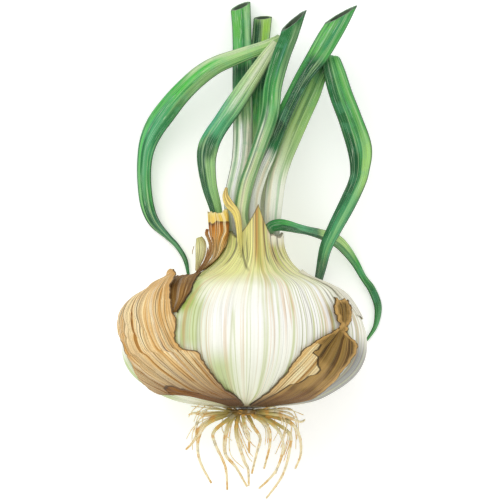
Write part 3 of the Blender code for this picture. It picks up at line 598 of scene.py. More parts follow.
def make_bulb():
    """The turned body with its ribs, flat spot, torn collar and socket."""
    angle = np.linspace(0, 2 * math.pi, BULB_ROUND, endpoint=False) + math.pi
    turned = [(place, *profile_at(place)) for place in np.linspace(0.02, RIM_PLACE, BULB_ROWS)]
    rows = []
    for place, along, radius in turned:
        lobes = LOBE_DEPTH * np.sin(LOBE_COUNT * angle + 0.4) * ease(6.0, 24.0, radius)
        ribs = np.sin(34 * angle + 1.6 * np.sin(3 * angle))
        ribs = ribs + 0.6 * np.sin(57 * angle + 2.0 * np.sin(2 * angle))
        ribs = RIB_DEPTH * ribs * ease(3.0, 14.0, radius) * 0.6
        under = ease(0.75, 0.95, -np.cos(angle))
        rise = collar_rise(angle) * ease(13.2, RIM_PLACE, place)
        rows.append(bulb_point(along + rise, radius + (lobes + ribs) * (1 - under), angle))
    top = COLLAR_RIM + collar_rise(angle)
    for share in (0.33, 0.66, 1.0):
        inner = COLLAR_RADIUS + (SOCKET_RADIUS - COLLAR_RADIUS) * share
        rows.append(bulb_point(top + 0.12 * math.sin(share * math.pi), inner, angle))
    for share in np.linspace(0.1, 1.0, 8):
        rows.append(bulb_point(top + (SOCKET_FLOOR - top) * share, SOCKET_RADIUS, angle))
    points = np.array(rows)
    points[..., 2] = np.maximum(points[..., 2], 0.0)
    inner_rows = len(rows) - len(turned)
    place = np.array([place for place, _, _ in turned] + [RIM_PLACE] * inner_rows)[:, None]
    turn = np.arctan2(np.sin(angle), np.cos(angle)) / math.pi
    degrees = turn * 180
    wall_line = np.interp(place, (8.0, 8.8, 9.6, 10.4, 11.0, 11.5, 11.9, 12.6, 13.4),
                          (-34, -32, -32, -37, -42, -49, -56, -68, -76))
    lime = bell(degrees - wall_line - 2.0, 3.6) * band(place, 7.6, 8.8, 13.0, 14.0)
    lime = lime + 0.75 * bell(degrees + 27, 7.0) * band(place, 5.6, 6.6, 8.2, 9.4)
    lime = lime + 0.9 * bell(degrees + 14, 7.0) * band(place, 2.4, 3.4, 4.8, 6.4)
    # Painted shade on the lower right flank, by angle and place
    slate = band(degrees, 54, 68, 96, 120) * band(place, 2.6, 3.6, 5.9, 7.3)
    slate = slate + 0.8 * band(degrees, 46, 60, 96, 120) * band(place, 1.6, 2.4, 3.4, 4.4)
    crease = 0.0
    for start, stop, spread in CREASES:
        middle = np.interp(place, (stop[0], start[0]), (stop[1], start[1]))
        within = band(place, stop[0] - 0.3, stop[0] + 0.5, start[0], start[0] + 0.6)
        crease = crease + bell(degrees - middle, spread) * within
    rim = np.zeros(place.shape)
    rim[len(turned) - 2:len(turned) + 3] = 1.0
    marks = {"place": place, "turn": turn, "lime": lime, "rim": rim, "slate": np.minimum(slate, 1.0),
             "crease": np.minimum(crease, 1.0)}
    strand = (np.sin(angle), np.cos(angle), place)
    grid_piece("bulb_body", points, strand, marks, True, "bulb", flesh_finish())


def directions(middles):
    """The way ahead, the side and the up at each point of a line of points, without twist."""
    side = Vector((1.0, 0.0, 0.0))
    last = len(middles) - 1
    for place in range(len(middles)):
        ahead = (middles[min(place + 1, last)] - middles[max(place - 1, 0)]).normalized()
        side = (side - ahead * side.dot(ahead)).normalized()
        yield ahead, side, side.cross(ahead)


def middle_line_at(middles, distance):
    """Point of a line of points at a distance back from its end."""
    left = distance
    for here, before in zip(reversed(middles), reversed(middles[:-1])):
        length = (before - here).length
        if length >= left:
            return here + (before - here) * (left / length)
        left -= length
    return middles[0]


def make_leaf(name, node, finish, rows, ridges, seed, cut=None):
    """Leaf lofted along its middle line, with ridges along it, and bored where it has a cut end.

    A row is x, y, z, width and thickness, then roll and hollow where it has them, as in the solids' source.
    The cut's two values say how far its end leans across the leaf and through it.
    """
    path = smooth_rows([(*row, *(0.0,) * (7 - len(row))) for row in rows], LEAF_STEPS)
    middles = [Vector(row[:3]) for row in path]
    angles = np.linspace(0, 2 * math.pi, LEAF_ROUND, endpoint=False)
    rings = []
    lengths = [0.0]
    for place, (row, (ahead, side, up)) in enumerate(zip(path, directions(middles))):
        width, thickness, roll, hollow = row[3:7]
        turn = math.radians(roll)
        across = np.array(side * math.cos(turn) + up * math.sin(turn))
        outward = np.array(up * math.cos(turn) - side * math.sin(turn))
        if place:
            lengths.append(lengths[-1] + (middles[place] - middles[place - 1]).length)
        ridge = RIDGE_DEPTH * np.sin(ridges * angles + 0.02 * lengths[-1] + seed)
        ridge = ridge + 0.05 * np.sin(2.3 * ridges // 1 * angles + seed * 2)
        waist = 1 + 0.015 * math.sin(0.21 * lengths[-1] + seed) - 0.012
        reach = (width / 2 * waist - LEAF_INSET + ridge) * np.cos(angles)
        lift = (thickness / 2 - LEAF_INSET + ridge) * np.sin(angles) + hollow * width * np.cos(angles) ** 2
        ring = np.array(middles[place]) + reach[:, None] * across + lift[:, None] * outward
        if cut:
            near_end = max(0.0, 1.0 - (len(path) - 1 - place) / (2 * LEAF_STEPS))
            lean = near_end * (cut[0] * reach + cut[1] * lift)
            ring = ring + lean[:, None] * np.array(ahead)
        ring[:, 2] = np.maximum(ring[:, 2], 0.0)
        rings.append(ring)
    if cut:
        from_end = rings[-1] - np.array(middles[-1])
        forward = np.array(ahead)
        share = 1 - 2 * TUBE_WALL / min(width, thickness)
        for depth in (0.0, 0.04, 0.12, 0.3, 0.5, 0.75, 1.0):
            narrow = share * (1 - 0.25 * depth) + (0.06 if depth == 0.0 else 0.0)
            offset = from_end - np.outer(from_end @ forward, forward) * depth
            ring = np.array(middle_line_at(middles, BORE_DEPTH * depth)) + offset * narrow
            ring[:, 2] = np.maximum(ring[:, 2], TUBE_WALL)
            rings.append(ring)
    inner_rows = len(rings) - len(path)
    along = np.array(lengths + [lengths[-1]] * inner_rows)[:, None]
    # 1 on the bore rows, which the finish darkens as painted shade
    inside = np.array([0.0] * len(path) + [1.0] * inner_rows)[:, None]
    marks = {"share": along / along.max(), "side": np.cos(angles), "inside": inside}
    strand = (np.cos(angles), np.sin(angles), along)
    grid_piece(name, np.array(rings), strand, marks, True, node, finish)


def folds(share, number, seed, count):
    """Long folds that run the length of a skin: about 1 on a crest and -1 in a valley."""
    chance = random.Random(seed)
    total = 0.0
    for scale in (1.0, 1.7, 3.1, 5.3):
        drift = 0.16 * np.sin(0.011 * number * scale + chance.uniform(0, 6.0))
        turn = 2 * math.pi * (count * scale * share + drift) + chance.uniform(0, 6.0)
        total = total + np.sin(turn) / scale ** 0.5
    return total / 1.9


def torn_line(tear, seed, other_seed, number):
    """Degrees that a torn edge strays from its plain run at each row."""
    return tear * (wander(seed, 4, number * 0.09) + 0.5 * wander(other_seed, 4, number * 0.45))


def make_skin(name, node, finish, rows, seed, columns, steps, fold_count, tear=1.0,
              pleats=0.0, pleat_count=0.0, layer=None, layer_step=0.0, thickness=SKIN_THICKNESS):
    """Skin over part of the bulb, with folds, torn edges and the same run as its solid.

    A row is a place on the bulb's profile, the angles of both edges, and how far the first edge, the
    middle and the second edge lift off the bulb. The layer says, in millimetres, how far a place and
    angle lie past the edge of the skin's other layer.
    """
    path = np.array(smooth_rows(rows, steps))
    place, first_angle, second_angle, first_lift, middle_lift, second_lift = path.T[:, :, None]
    count = len(path)
    share = np.linspace(0, 1, columns + 1)[None, :]
    number = np.arange(count)[:, None]
    along_radius = np.array([profile_at(value) for value in path[:, 0]])
    along, radius = along_radius[:, :1], along_radius[:, 1:]
    start = first_angle + torn_line(tear, seed, seed + 9, number)
    stop = second_angle + torn_line(tear, seed + 3, seed + 5, number)
    degrees = start + (stop - start) * share
    bulge = 4 * share * (1 - share)
    first_smooth, second_smooth = (np.polyval(np.polyfit(number[:, 0], line[:, 0], 3), number)
                                   for line in (first_angle, second_angle))
    grain = (degrees - first_smooth) / (second_smooth - first_smooth)
    ends = first_lift * (1 - share) + second_lift * share
    lift = ends + (middle_lift - (first_lift + second_lift) / 2) * bulge
    row_in_solid = number / steps * 2
    wave = np.abs(pleats * np.sin(2 * math.pi * pleat_count * share + 0.35 * row_in_solid))
    fold = folds(grain, number, seed, fold_count)
    wave = wave + FOLD_DEPTH * fold * ease(1.0, 6.0, place) + SKIN_GAP
    end_tear = tear * 0.35 * wander(seed + 7, 5, share * 9) * ease(count - 1 - steps, count - 1.0, number)
    past = layer(place, degrees, radius) if layer else np.array([[NO_LAYER]])
    wave = wave + layer_step * ease(-0.2, 0.25, past)
    points = bulb_point(along + end_tear * 2, radius + lift + wave, np.radians(degrees))
    from_edge = np.minimum(share, 1 - share) * np.radians(np.abs(stop - start)) * radius
    from_end = (count - 1 - number) * (0.5 * 10 / steps)
    run = number / (count - 1)
    marks = {"edge": np.minimum(from_edge, from_end), "place": place, "fold": fold, "layer": past,
             "share": run}
    piece = grid_piece(name, points, (grain * 10.0, 0.37, run * 10.0), marks, False, node, finish)
    shell = piece.modifiers.new("Paper thickness", "SOLIDIFY")
    shell.thickness = thickness * MM
    shell.offset = 1.0


def left_notch(place, degrees, radius):
    """Past the torn notch low on the left skin, where a darker layer shows."""
    top = np.interp(degrees, (-80, -66, -62, -56, -50, -47, -44, -36, -26),
                    (3.3, 3.45, 3.95, 4.12, 4.05, 3.8, 3.78, 3.2, 2.6))
    return (top - place) * 5.5


def right_fold(place, degrees, radius):
    """Past the edge of the right skin's dark outer layer, over its pale inner one."""
    edge = np.interp(place, (1.5, 2.8, 3.65, 4.02, 4.12, 4.35, 4.58, 4.68, 4.95, 5.2, 5.65, 5.85, 6.0,
                             6.3, 6.5),
                     (20, 22, 27, 29, 34, 36, 37, 41, 41.5, 38.5, 37, 33, 35.5, 37, 26))
    return np.radians(degrees - edge) * radius


# The root plate and the roots, as the solids have them, and the hair roots
ROOT_SEED = 11
ROOT_CROWDING = 0.72
PLATE_RADIUS = 4.6
PLATE_DEPTH = 1.9
PLATE_GAP = 0.3
ROOT_THICK = (1.9, 1.6)
ROOT_THIN = 0.8
ROOT_SLIMMING = 0.8
HAIR_SEED = 5
HAIR_COUNT = 46
# Across at the plate, then across and reach of the points of each route
ROOT_ROUTES = [
    (-3.4, [(-5.5, -28), (-6.5, -36.7), (-2.9, -41.6), (0.6, -47.8)]),
    (-2.6, [(-2.9, -30.2), (-0.3, -39.3), (1, -42.2), (1.2, -47.5)]),
    (-1, [(0, -28.6), (1.2, -31), (1.3, -36.7)]),
    (0.8, [(2.6, -28), (4.9, -32), (3.8, -36.8), (2.2, -43.5)]),
    (2.2, [(7.2, -28), (8.1, -33.6), (6.2, -41.9)]),
    (3.2, [(9.8, -28.2), (12.4, -34.2), (10, -42.6), (4.6, -48.4)]),
    (3.8, [(13.7, -29.6), (14.6, -35), (12.2, -44), (6.9, -51.6)]),
    (4.2, [(14, -26.6), (17.4, -30.6), (18.2, -36.8), (16.4, -42)]),
    (4, [(12.4, -24.6), (17.6, -26.6), (19.3, -26.2)]),
    (-3.6, [(-12.3, -24.4), (-16.2, -23.9), (-18.2, -24.4)]),
    (-4, [(-10.4, -25.6), (-14.8, -28.6), (-16.6, -32.8), (-19.2, -35.7)]),
    (-4.2, [(-12.3, -27.3), (-15.3, -33), (-14.6, -39.6), (-11, -46.6)]),
    (-3, [(-9.8, -29.4), (-9.8, -33.6), (-6.4, -41.4), (-5.8, -48.9)]),
]


def thread(name, rows, finish, node, round_count, steps, wobble, seed):
    """One root or dried strip: a tapering tube along rows of x, y, z and thickness."""
    path = smooth_rows(rows, steps)
    middles = [Vector(row[:3]) for row in path]
    angles = np.linspace(0, 2 * math.pi, round_count, endpoint=False)
    rings = []
    for place, (row, (_, side, up)) in enumerate(zip(path, directions(middles))):
        size = row[3] / 2 * (1 + wobble * math.sin(2.1 * place + seed))
        offset = np.cos(angles)[:, None] * np.array(side) + np.sin(angles)[:, None] * np.array(up)
        rings.append(np.array(middles[place]) + offset * size)
    number = np.arange(len(path))[:, None]
    strand = (np.cos(angles), np.sin(angles), number + seed * 7)
    marks = {"share": number / (len(path) - 1)}
    grid_piece(name, np.array(rings), strand, marks, True, node, finish)


def make_roots():
    """Root plate, the roots of the solids and finer hair roots."""
    finish = root_finish()
    chance = random.Random(ROOT_SEED)
    plate_top = BULB_PROFILE[0][0] - PLATE_GAP
    plate_middle = Vector(bulb_point(plate_top - PLATE_DEPTH / 2, 0.0, 0.0))
    routes = []
    for start_across, route in ROOT_ROUTES:
        start = plate_middle + Vector((start_across * ROOT_CROWDING, 0.0, chance.uniform(-1.8, 1.8)))
        drop = chance.uniform(5.0, 15.0)
        thick = chance.uniform(ROOT_THICK[1], ROOT_THICK[0])
        rows = [(*start, thick)]
        for number, (across, reach) in enumerate(route, 1):
            share = number / len(route)
            sway = chance.uniform(-1.2, 1.2)
            height = start.z - drop * share ** 1.6 + sway
            rows.append((across, reach, height, thick + (ROOT_THIN - thick) * share))
        routes.append(rows)
    for number, rows in enumerate(routes):
        slim = [(x, y, z, size * ROOT_SLIMMING) for x, y, z, size in rows]
        thread(f"root_{number}", slim, finish, "root_tuft", 10, 8, 0.08, number)
    hair = random.Random(HAIR_SEED)
    for number in range(HAIR_COUNT):
        rows = routes[hair.randrange(len(routes))]
        share = hair.uniform(0.75, 1.0)
        shift = Vector((hair.uniform(-1.6, 1.6), hair.uniform(-0.6, 0.6), hair.uniform(-2.5, 1.5)))
        fine = []
        for place, (x, y, z, _) in enumerate(rows[:-1]):
            grow = place / (len(rows) - 1)
            fine.append((x + shift.x * grow * 2.2, y * (share if place else 1.0) + shift.y,
                         z + shift.z * grow * 1.5, 0.5 - 0.3 * grow))
        if len(fine) > 2:
            thread(f"root_hair_{number}", fine, finish, None, 6, 7, 0.1, number)
    angles = np.linspace(0, 2 * math.pi, 60, endpoint=False)
    places = np.linspace(0, 1, 12)
    rows = []
    for share in places:
        bulge = math.sin(math.pi * min(max(share, 0.04), 0.96)) ** 0.4
        ribs = 1 + 0.05 * np.sin(9 * angles) + 0.04 * np.sin(17 * angles)
        radius = (PLATE_RADIUS - 0.9 * share) * bulge * ribs
        rows.append(bulb_point(plate_top - PLATE_DEPTH * share, radius, angles))
    strand = (np.cos(angles), np.sin(angles), places[:, None])
    grid_piece("root_plate", np.array(rows), strand, {"share": np.array([[0.02]])}, True,
               "root_tuft", finish)


# Colours that the leaves share
WHITE = (240, 242, 224)
PALE = (222, 232, 186)
LIME = (176, 212, 124)
BRIGHT = (96, 186, 70)
MID = (76, 166, 78)
SEA = (84, 176, 118)
DEEP = (30, 112, 52)
DARK = (16, 76, 42)
BLACK_GREEN = (22, 58, 34)
CREAM = (232, 222, 190)


def green_leaf(node, seed, ridges, stops, places, rows, cut=None):
    """One leaf with its own run of colour, painted light and painted shade: a tube where its end is cut,
    and a closed blade elsewhere.
    """
    finish = leaf_finish(f"{node}_green", stops, places, seed)
    make_leaf(f"{node}_{'tube' if cut else 'blade'}", node, finish, rows, ridges, seed, cut)


def make_leaves():
    """The eight leaves, each with its colours, the places of own colour, painted highlight and painted
    shade on it, its rows and the lean of its cut.
    """
    green_leaf("leaf_tall", 1, 8, [
        (0, WHITE), (0.4, WHITE), (0.56, PALE), (0.62, MID), (0.72, DARK), (0.76, MID),
        (0.86, MID), (1, BRIGHT)], [
        (0, 0.58, -0.75, -0.45, MID, 0.5), (0, 0.52, 0.1, 0.3, MID, 0.45),
        (0.05, 0.5, 0.45, 0.7, CREAM, 0.7), (0.1, 0.5, -0.3, 0, (252, 252, 250), 0.8),
        (0.5, 0.62, -0.2, 0.9, (120, 176, 92), 0.7), (0.78, 1, -0.9, -0.2, BRIGHT, 0.8),
        (0.78, 1, 0.3, 0.8, (164, 212, 150), 0.8), (0.78, 1, -0.1, 0.25, (44, 128, 70), 0.6),
        (0.63, 0.74, -1, 1, DARK, 0.6)], [
        (-2.8, 28.8, 36.3, 5.2, 4.3), (-3.2, 36, 35.5, 5.6, 4.3), (-3.8, 46, 33.8, 6, 4.5),
        (-1.2, 58.8, 30, 6.2, 4.8), (-0.7, 70.9, 24.5, 6.4, 5), (-0.9, 81.3, 18.5, 6.4, 5),
        (-0.9, 91, 12, 6.4, 5), (-1.1, 101.2, 6.8, 6.4, 5),
        (-1.5, 109, 4.2, 6.6, 5)], (0.4, -0.7))
    green_leaf("leaf_short", 2, 8, [
        (0, WHITE), (0.4, PALE), (0.55, MID), (0.7, DARK), (0.86, DARK), (1, LIME)], [
        (0.86, 1, 0.15, 1, (168, 222, 84), 0.9), (0.84, 1, -1, -0.1, DARK, 0.95)], [
        (0.15, 28.8, 31.7, 4.9, 4), (0.3, 36, 30.4, 5.1, 4.1), (0.6, 48, 27, 5.6, 4.4),
        (1.6, 65, 20, 5.8, 4.6), (2.6, 74.8, 14.6, 6, 4.8), (3.9, 86, 8.4, 6, 4.8),
        (4.9, 95.9, 4.4, 6, 4.8), (5.8, 105.3, 2.3, 6, 4.8)], (0.15, -0.5))
    green_leaf("leaf_front", 3, 8, [
        (0, PALE), (0.15, (196, 214, 150)), (0.35, (184, 206, 146)), (0.48, (150, 190, 130)),
        (0.66, MID), (0.85, DEEP), (1, DEEP)], [
        (0, 0.62, -1, -0.62, DEEP, 0.8), (0.05, 0.6, 0.55, 0.9, DEEP, 0.7),
        (0.1, 0.5, -0.35, 0.05, CREAM, 0.7), (0.3, 0.62, -0.5, -0.2, WHITE, 0.8),
        (0.55, 0.95, -0.9, -0.25, DEEP, 0.6), (0.62, 0.98, 0.35, 0.85, (176, 214, 150), 0.6),
        (0.74, 0.9, -0.1, 0.2, (70, 140, 110), 0.7)], [
        (0.3, 28.8, 40.9, 4.9, 4), (-0.4, 36, 40.2, 4.9, 4), (-1.2, 41, 39.9, 5, 4),
        (0.2, 49.7, 39.4, 5, 4.1), (2.6, 56.9, 38.7, 4.9, 4.2), (4.9, 63.4, 37.8, 5.2, 4.4),
        (8, 73.1, 35.8, 6, 4.5), (9.1, 82.6, 33.8, 6.1, 4.5), (11.7, 92, 31.4, 6.2, 4.6),
        (14.1, 98.4, 29.8, 6.1, 4.6), (15.9, 103.8, 28.6, 6, 4.6)], (1.5, -1))
    green_leaf("leaf_right_cut", 4, 8, [
        (0, WHITE), (0.36, WHITE), (0.42, DEEP), (0.5, BLACK_GREEN), (0.6, DARK), (0.78, DARK),
        (0.82, MID), (1, MID)], [
        (0, 0.38, -0.8, -0.5, (150, 176, 120), 0.6),
        (0.05, 0.38, 0.35, 0.65, (226, 214, 180), 0.8),
        (0.1, 0.4, -0.3, 0.2, (252, 250, 244), 0.8), (0.55, 0.8, -1, -0.35, MID, 0.8),
        (0.8, 1, -0.9, -0.3, (108, 190, 92), 0.8), (0.8, 1, -0.3, 0.1, (140, 204, 120), 0.5),
        (0.84, 1, 0.1, 0.6, (52, 134, 90), 0.7), (0.77, 0.805, -0.6, 1, BLACK_GREEN, 0.8)], [
        (2.9, 28.8, 36.3, 5.2, 4.3), (2.8, 36, 35.5, 5.3, 4.3), (2.4, 45.5, 34.8, 5.6, 4.3),
        (4.4, 53.6, 34.2, 5.8, 4.3), (7.2, 60.1, 33.6, 5.6, 4.4), (9.3, 65, 33, 5.2, 4.4),
        (12.7, 73.4, 31.6, 5, 4.5), (16, 80.3, 30.6, 5, 4.5), (19.3, 86.2, 29.9, 5.6, 4.5),
        (23.7, 92.6, 29.3, 7, 4.5), (28.3, 100.4, 28.3, 7.2, 4.4),
        (31.2, 105.8, 27.6, 6.9, 4.2)], (1.5, -0.85))
    green_leaf("leaf_right_folded", 5, 7, [
        (0, WHITE), (0.13, WHITE), (0.2, (206, 224, 170)), (0.27, LIME), (0.36, (140, 190, 108)),
        (0.405, DARK), (0.43, MID), (0.6, MID), (0.7, DEEP), (0.86, SEA), (1, DARK)], [
        (0.02, 0.18, 0.2, 0.45, MID, 0.5), (0.05, 0.2, -0.7, -0.4, CREAM, 0.8),
        (0.18, 0.38, 0.35, 0.95, (120, 176, 92), 0.5), (0.12, 0.36, -0.85, -0.6, MID, 0.5),
        (0.4, 0.66, -1, -0.15, (44, 104, 58), 0.9),
        (0.44, 0.62, 0.35, 0.8, (120, 188, 96), 0.7),
        (0.61, 0.72, 0.25, 1, (172, 224, 122), 0.85), (0.45, 0.62, -0.1, 0.2, (96, 152, 96), 0.5),
        (0.62, 0.74, -1, -0.1, DARK, 0.9), (0.7, 0.92, 0.1, 0.55, (140, 202, 130), 0.8),
        (0.72, 1, -1, -0.45, DARK, 0.7), (0.88, 1, -1, 1, BLACK_GREEN, 0.5)], [
        (8.6, 28.8, 36.2, 5.2, 4.2), (8.8, 36, 35.2, 5.4, 4.2), (9.3, 43.9, 33.9, 6, 4.2),
        (10.3, 52, 31.8, 6.4, 4.2), (12.2, 58.5, 29.6, 6.4, 4), (14.4, 64, 27.6, 6.4, 3.8),
        (18.1, 72.8, 24.9, 6.6, 3.2), (21.4, 80, 23, 6.6, 2.6), (23.8, 85.8, 21.6, 5.8, 2.2),
        (25.9, 90, 21.2, 5.8, 2, -8), (27.4, 91.9, 22.8, 5.8, 2, -38),
        (28.2, 90.8, 24.9, 6, 2, -72), (29.3, 86.6, 26, 7.2, 2, -72, 0.04),
        (31.4, 79.6, 25.6, 7.8, 2, -72, 0.06), (34.4, 71.7, 24.4, 8, 2, -72, 0.08),
        (37.3, 62.4, 22.8, 8.2, 2, -78, 0.08), (37.4, 55.3, 21.6, 6.5, 2, -80, 0.06),
        (36.3, 50.7, 21, 5.9, 2, -82, 0.06), (33.2, 43.9, 21, 5.7, 2, -80, 0.06),
        (29.2, 36.2, 21.4, 4.9, 1.8, -78, 0.05), (26.3, 29.9, 18.6, 4.2, 1.6, -74, 0.04),
        (24.9, 23.6, 10.4, 3.5, 1.4, -69), (23.9, 18.6, 1.6, 2.4, 1.1, -69),
        (23.5, 16.4, 0.6, 0.9, 0.9, -69)])
    green_leaf("leaf_left_long", 6, 7, [
        (0, WHITE), (0.16, PALE), (0.24, MID), (0.3, DARK), (0.38, DARK), (0.43, LIME),
        (0.52, (150, 196, 118)), (0.6, MID), (0.72, SEA), (0.84, MID), (0.88, DARK), (0.92, DARK),
        (1, DEEP)], [
        (0.42, 0.6, -1, -0.35, (214, 230, 184), 0.7),
        (0.44, 0.62, 0.25, 0.9, (122, 178, 92), 0.8), (0.53, 0.64, -0.55, 0.05, (92, 206, 82), 0.9),
        (0.6, 0.74, -0.9, -0.5, (84, 196, 84), 0.9), (0.52, 0.66, 0.35, 1, (126, 168, 100), 0.9),
        (0.62, 0.74, 0.45, 1, DEEP, 0.7), (0.72, 0.9, -0.62, -0.38, (90, 208, 92), 0.9),
        (0.7, 0.86, -1, -0.72, (36, 122, 66), 0.7), (0.74, 0.88, -0.3, 0, (36, 122, 66), 0.6),
        (0.88, 0.96, 0.1, 1, (96, 168, 130), 0.7), (0.72, 0.9, 0, 0.35, (124, 190, 140), 0.5),
        (0.84, 0.94, -0.5, 0.5, DARK, 0.6)], [
        (5.65, 28.8, 31.7, 4.9, 4), (5.8, 36, 30.8, 4.9, 4), (5.6, 48.8, 28.6, 5, 3.6),
        (5.8, 61.8, 26.2, 5, 3), (6.4, 74.8, 23.4, 5, 2.6), (6.8, 82.9, 20, 5.2, 2.4),
        (7.8, 90, 17.2, 5.4, 2.2), (9.7, 94.8, 16.2, 5.2, 2), (11.2, 97.2, 17.6, 4.6, 1.9),
        (11.8, 98, 20, 4.4, 1.8), (10.7, 97.2, 22.6, 4.6, 1.8), (7, 95.6, 23.3, 4.7, 1.8),
        (2.4, 94, 23, 4.9, 1.8, 0, -0.02), (-3.4, 91.9, 21.8, 5.5, 1.9, 0, -0.04),
        (-9.3, 89.5, 20, 6.3, 1.9, 0, -0.06), (-14.8, 85.8, 17.6, 7.3, 1.9, 0, -0.08),
        (-20.4, 80.6, 14.6, 7.9, 1.9, 0, -0.06), (-25.2, 75, 11.4, 8.5, 1.9, 0, -0.04),
        (-29.2, 69.6, 8.6, 8.3, 1.9, 0, -0.03), (-31.8, 64.3, 6.2, 7.6, 1.9),
        (-32.9, 58.6, 4.2, 6.8, 1.9), (-33, 51.3, 2.6, 6.4, 1.9), (-32, 43.7, 1.7, 6.2, 1.8),
        (-29.7, 38.2, 1.3, 5.2, 1.7), (-25.4, 33.6, 0.9, 2.7, 1.6), (-22.4, 30.6, 0.8, 1.9, 1.5),
        (-19.7, 26.2, 0.7, 1.8, 1.3), (-18.6, 21.2, 0.5, 0.9, 0.9)])
    green_leaf("leaf_left_kinked", 7, 7, [
        (0, LIME), (0.12, (146, 196, 116)), (0.4, (160, 206, 130)), (0.46, SEA), (0.56, SEA),
        (0.7, (160, 208, 140)), (0.8, (206, 228, 160)), (1, PALE)], [
        (0.04, 0.42, -1, -0.1, DARK, 0.95), (0, 0.12, -1, 0.2, DEEP, 0.6),
        (0.36, 0.48, -0.6, 0.7, DARK, 0.85), (0.48, 0.66, -1, -0.5, (80, 164, 130), 0.6),
        (0.44, 0.75, 0.35, 0.6, DEEP, 0.5), (0.62, 0.95, -0.2, 0.2, WHITE, 0.5)], [
        (-8.6, 33.6, 36.8, 2.5, 1.9), (-9, 38.4, 36.7, 3, 2.1), (-9.6, 42.6, 36.3, 4.1, 2.2),
        (-11.7, 50.2, 35, 5.2, 2.2, 0, 0.04), (-12.6, 57.5, 33.2, 6.2, 2.2, 0, 0.06),
        (-12.1, 62.4, 31.8, 6.8, 2.2, 0, 0.05), (-10.4, 66.4, 30.6, 6.4, 2.1, 0, 0.03),
        (-7.7, 70.6, 29.6, 6.1, 2.1), (-3.3, 77, 28.4, 6.6, 2, 0, -0.03),
        (2.3, 85.3, 27, 5.6, 1.9, 0, -0.03), (6.9, 92.3, 26, 4.2, 1.8),
        (10.2, 96.8, 25.5, 3.2, 1.6)])
    green_leaf("leaf_small_right", 8, 5, [
        (0, PALE), (0.1, DEEP), (0.16, MID), (0.3, SEA), (0.42, (70, 134, 84)),
        (0.46, (190, 226, 140)), (0.6, (190, 228, 140)), (0.68, MID), (0.84, DEEP), (1, MID)], [
        (0.12, 0.24, 0, 1, DARK, 0.85), (0.24, 0.52, 0.35, 1, DARK, 0.85),
        (0.52, 0.7, 0.2, 1, (84, 150, 96), 0.85), (0.78, 0.86, -0.4, 0.6, DARK, 0.5),
        (0.86, 0.95, -0.6, 0.2, (110, 182, 120), 0.5)], [
        (5.9, 28.8, 41, 3.4, 1.4), (6.6, 33.4, 41.4, 3.6, 1.4), (8.4, 36.6, 42, 3.8, 1.3),
        (11.2, 37.4, 41.4, 4, 1.2), (14.2, 37, 38.6, 3.8, 1.2),
        (17.4, 36.2, 32.6, 3.2, 1.2, 0, 0.04), (20.6, 35.5, 24.4, 2.9, 1.2, 0, 0.04),
        (25.2, 34.2, 15, 3.6, 1.2, 0, 0.06), (29.9, 32.3, 10, 4.5, 1.2),
        (33.2, 29.3, 7.4, 4.2, 1.2, 0, -0.04), (36.1, 25.2, 4.8, 3.3, 1.2, 0, -0.04),
        (38.8, 20.2, 3.4, 2.7, 1.2), (41.4, 16.6, 2.4, 3.2, 1.2), (43.3, 12.1, 1.4, 3.4, 1.2),
        (43.6, 8.6, 0.9, 3, 1.2), (42.6, 4, 0.6, 1.9, 1), (39.8, -0.4, 0.4, 0.8, 0.8)])


def make_neck_sheaths():
    """The dry pocket, the pale flap and the yellow curl at the neck."""
    make_skin("sheath_dry", "sheath_dry_pocket", pocket_finish(), [
        (12.3, -84, -74, 0.4, 0.5, 0.4), (12.8, -98, -76, 0.4, 1.1, 0.4), (13.4, -108, -73, 0.4, 1.6, 0.4),
        (14.1, -114, -62, 0.4, 2.8, 0.5), (14.6, -116, -55, 0.6, 3.7, 0.6),
        (15.2, -114, -51, 1.2, 4.5, 0.8), (15.9, -108, -47, 2.4, 4.9, 1.4),
        (16.7, -104, -45, 3.4, 5.2, 2.4),
    ], seed=21, columns=70, steps=14, fold_count=4.0, tear=1.2)
    make_leaf("sheath_pale", "sheath_pale_flap", dry_finish("pale_sheath", [
        (0, (226, 206, 150)), (0.3, (232, 230, 166)), (0.7, (240, 240, 184)), (1, (214, 214, 140))]), [
        (-15.7, 22.4, 37, 1, 0.8), (-15.2, 24.7, 37.2, 1.9, 0.8), (-14.7, 26.7, 37.5, 2.9, 0.8),
        (-14.4, 28.6, 37.9, 3.5, 0.8), (-14.3, 30.5, 38.2, 3.7, 0.8), (-14.5, 32, 38.5, 3.2, 0.8),
        (-15, 33.3, 38.8, 2, 0.8),
    ], 4, 9)
    make_leaf("sheath_yellow", "sheath_yellow_curl", dry_finish("yellow_sheath", [
        (0, (222, 222, 140)), (0.25, (228, 218, 122)), (0.5, (246, 226, 120)), (0.8, (248, 222, 130)),
        (1, (238, 212, 130))]), [
        (-1.3, 26.8, 47.5, 0.3, 0.3, -20), (-1.5, 29.3, 46.2, 1.3, 0.6, -20),
        (-1.7, 31.8, 45.4, 1.8, 0.8, -20), (-2, 36.6, 45, 2.4, 0.8, -20),
        (-2.9, 41.1, 44.4, 3, 0.8, -20), (-5.2, 44.2, 42.6, 3.2, 0.8, -10),
        (-6.3, 46.8, 40.8, 2.2, 0.8), (-6.1, 49.4, 39.6, 0.9, 0.8),
    ], 4, 10)


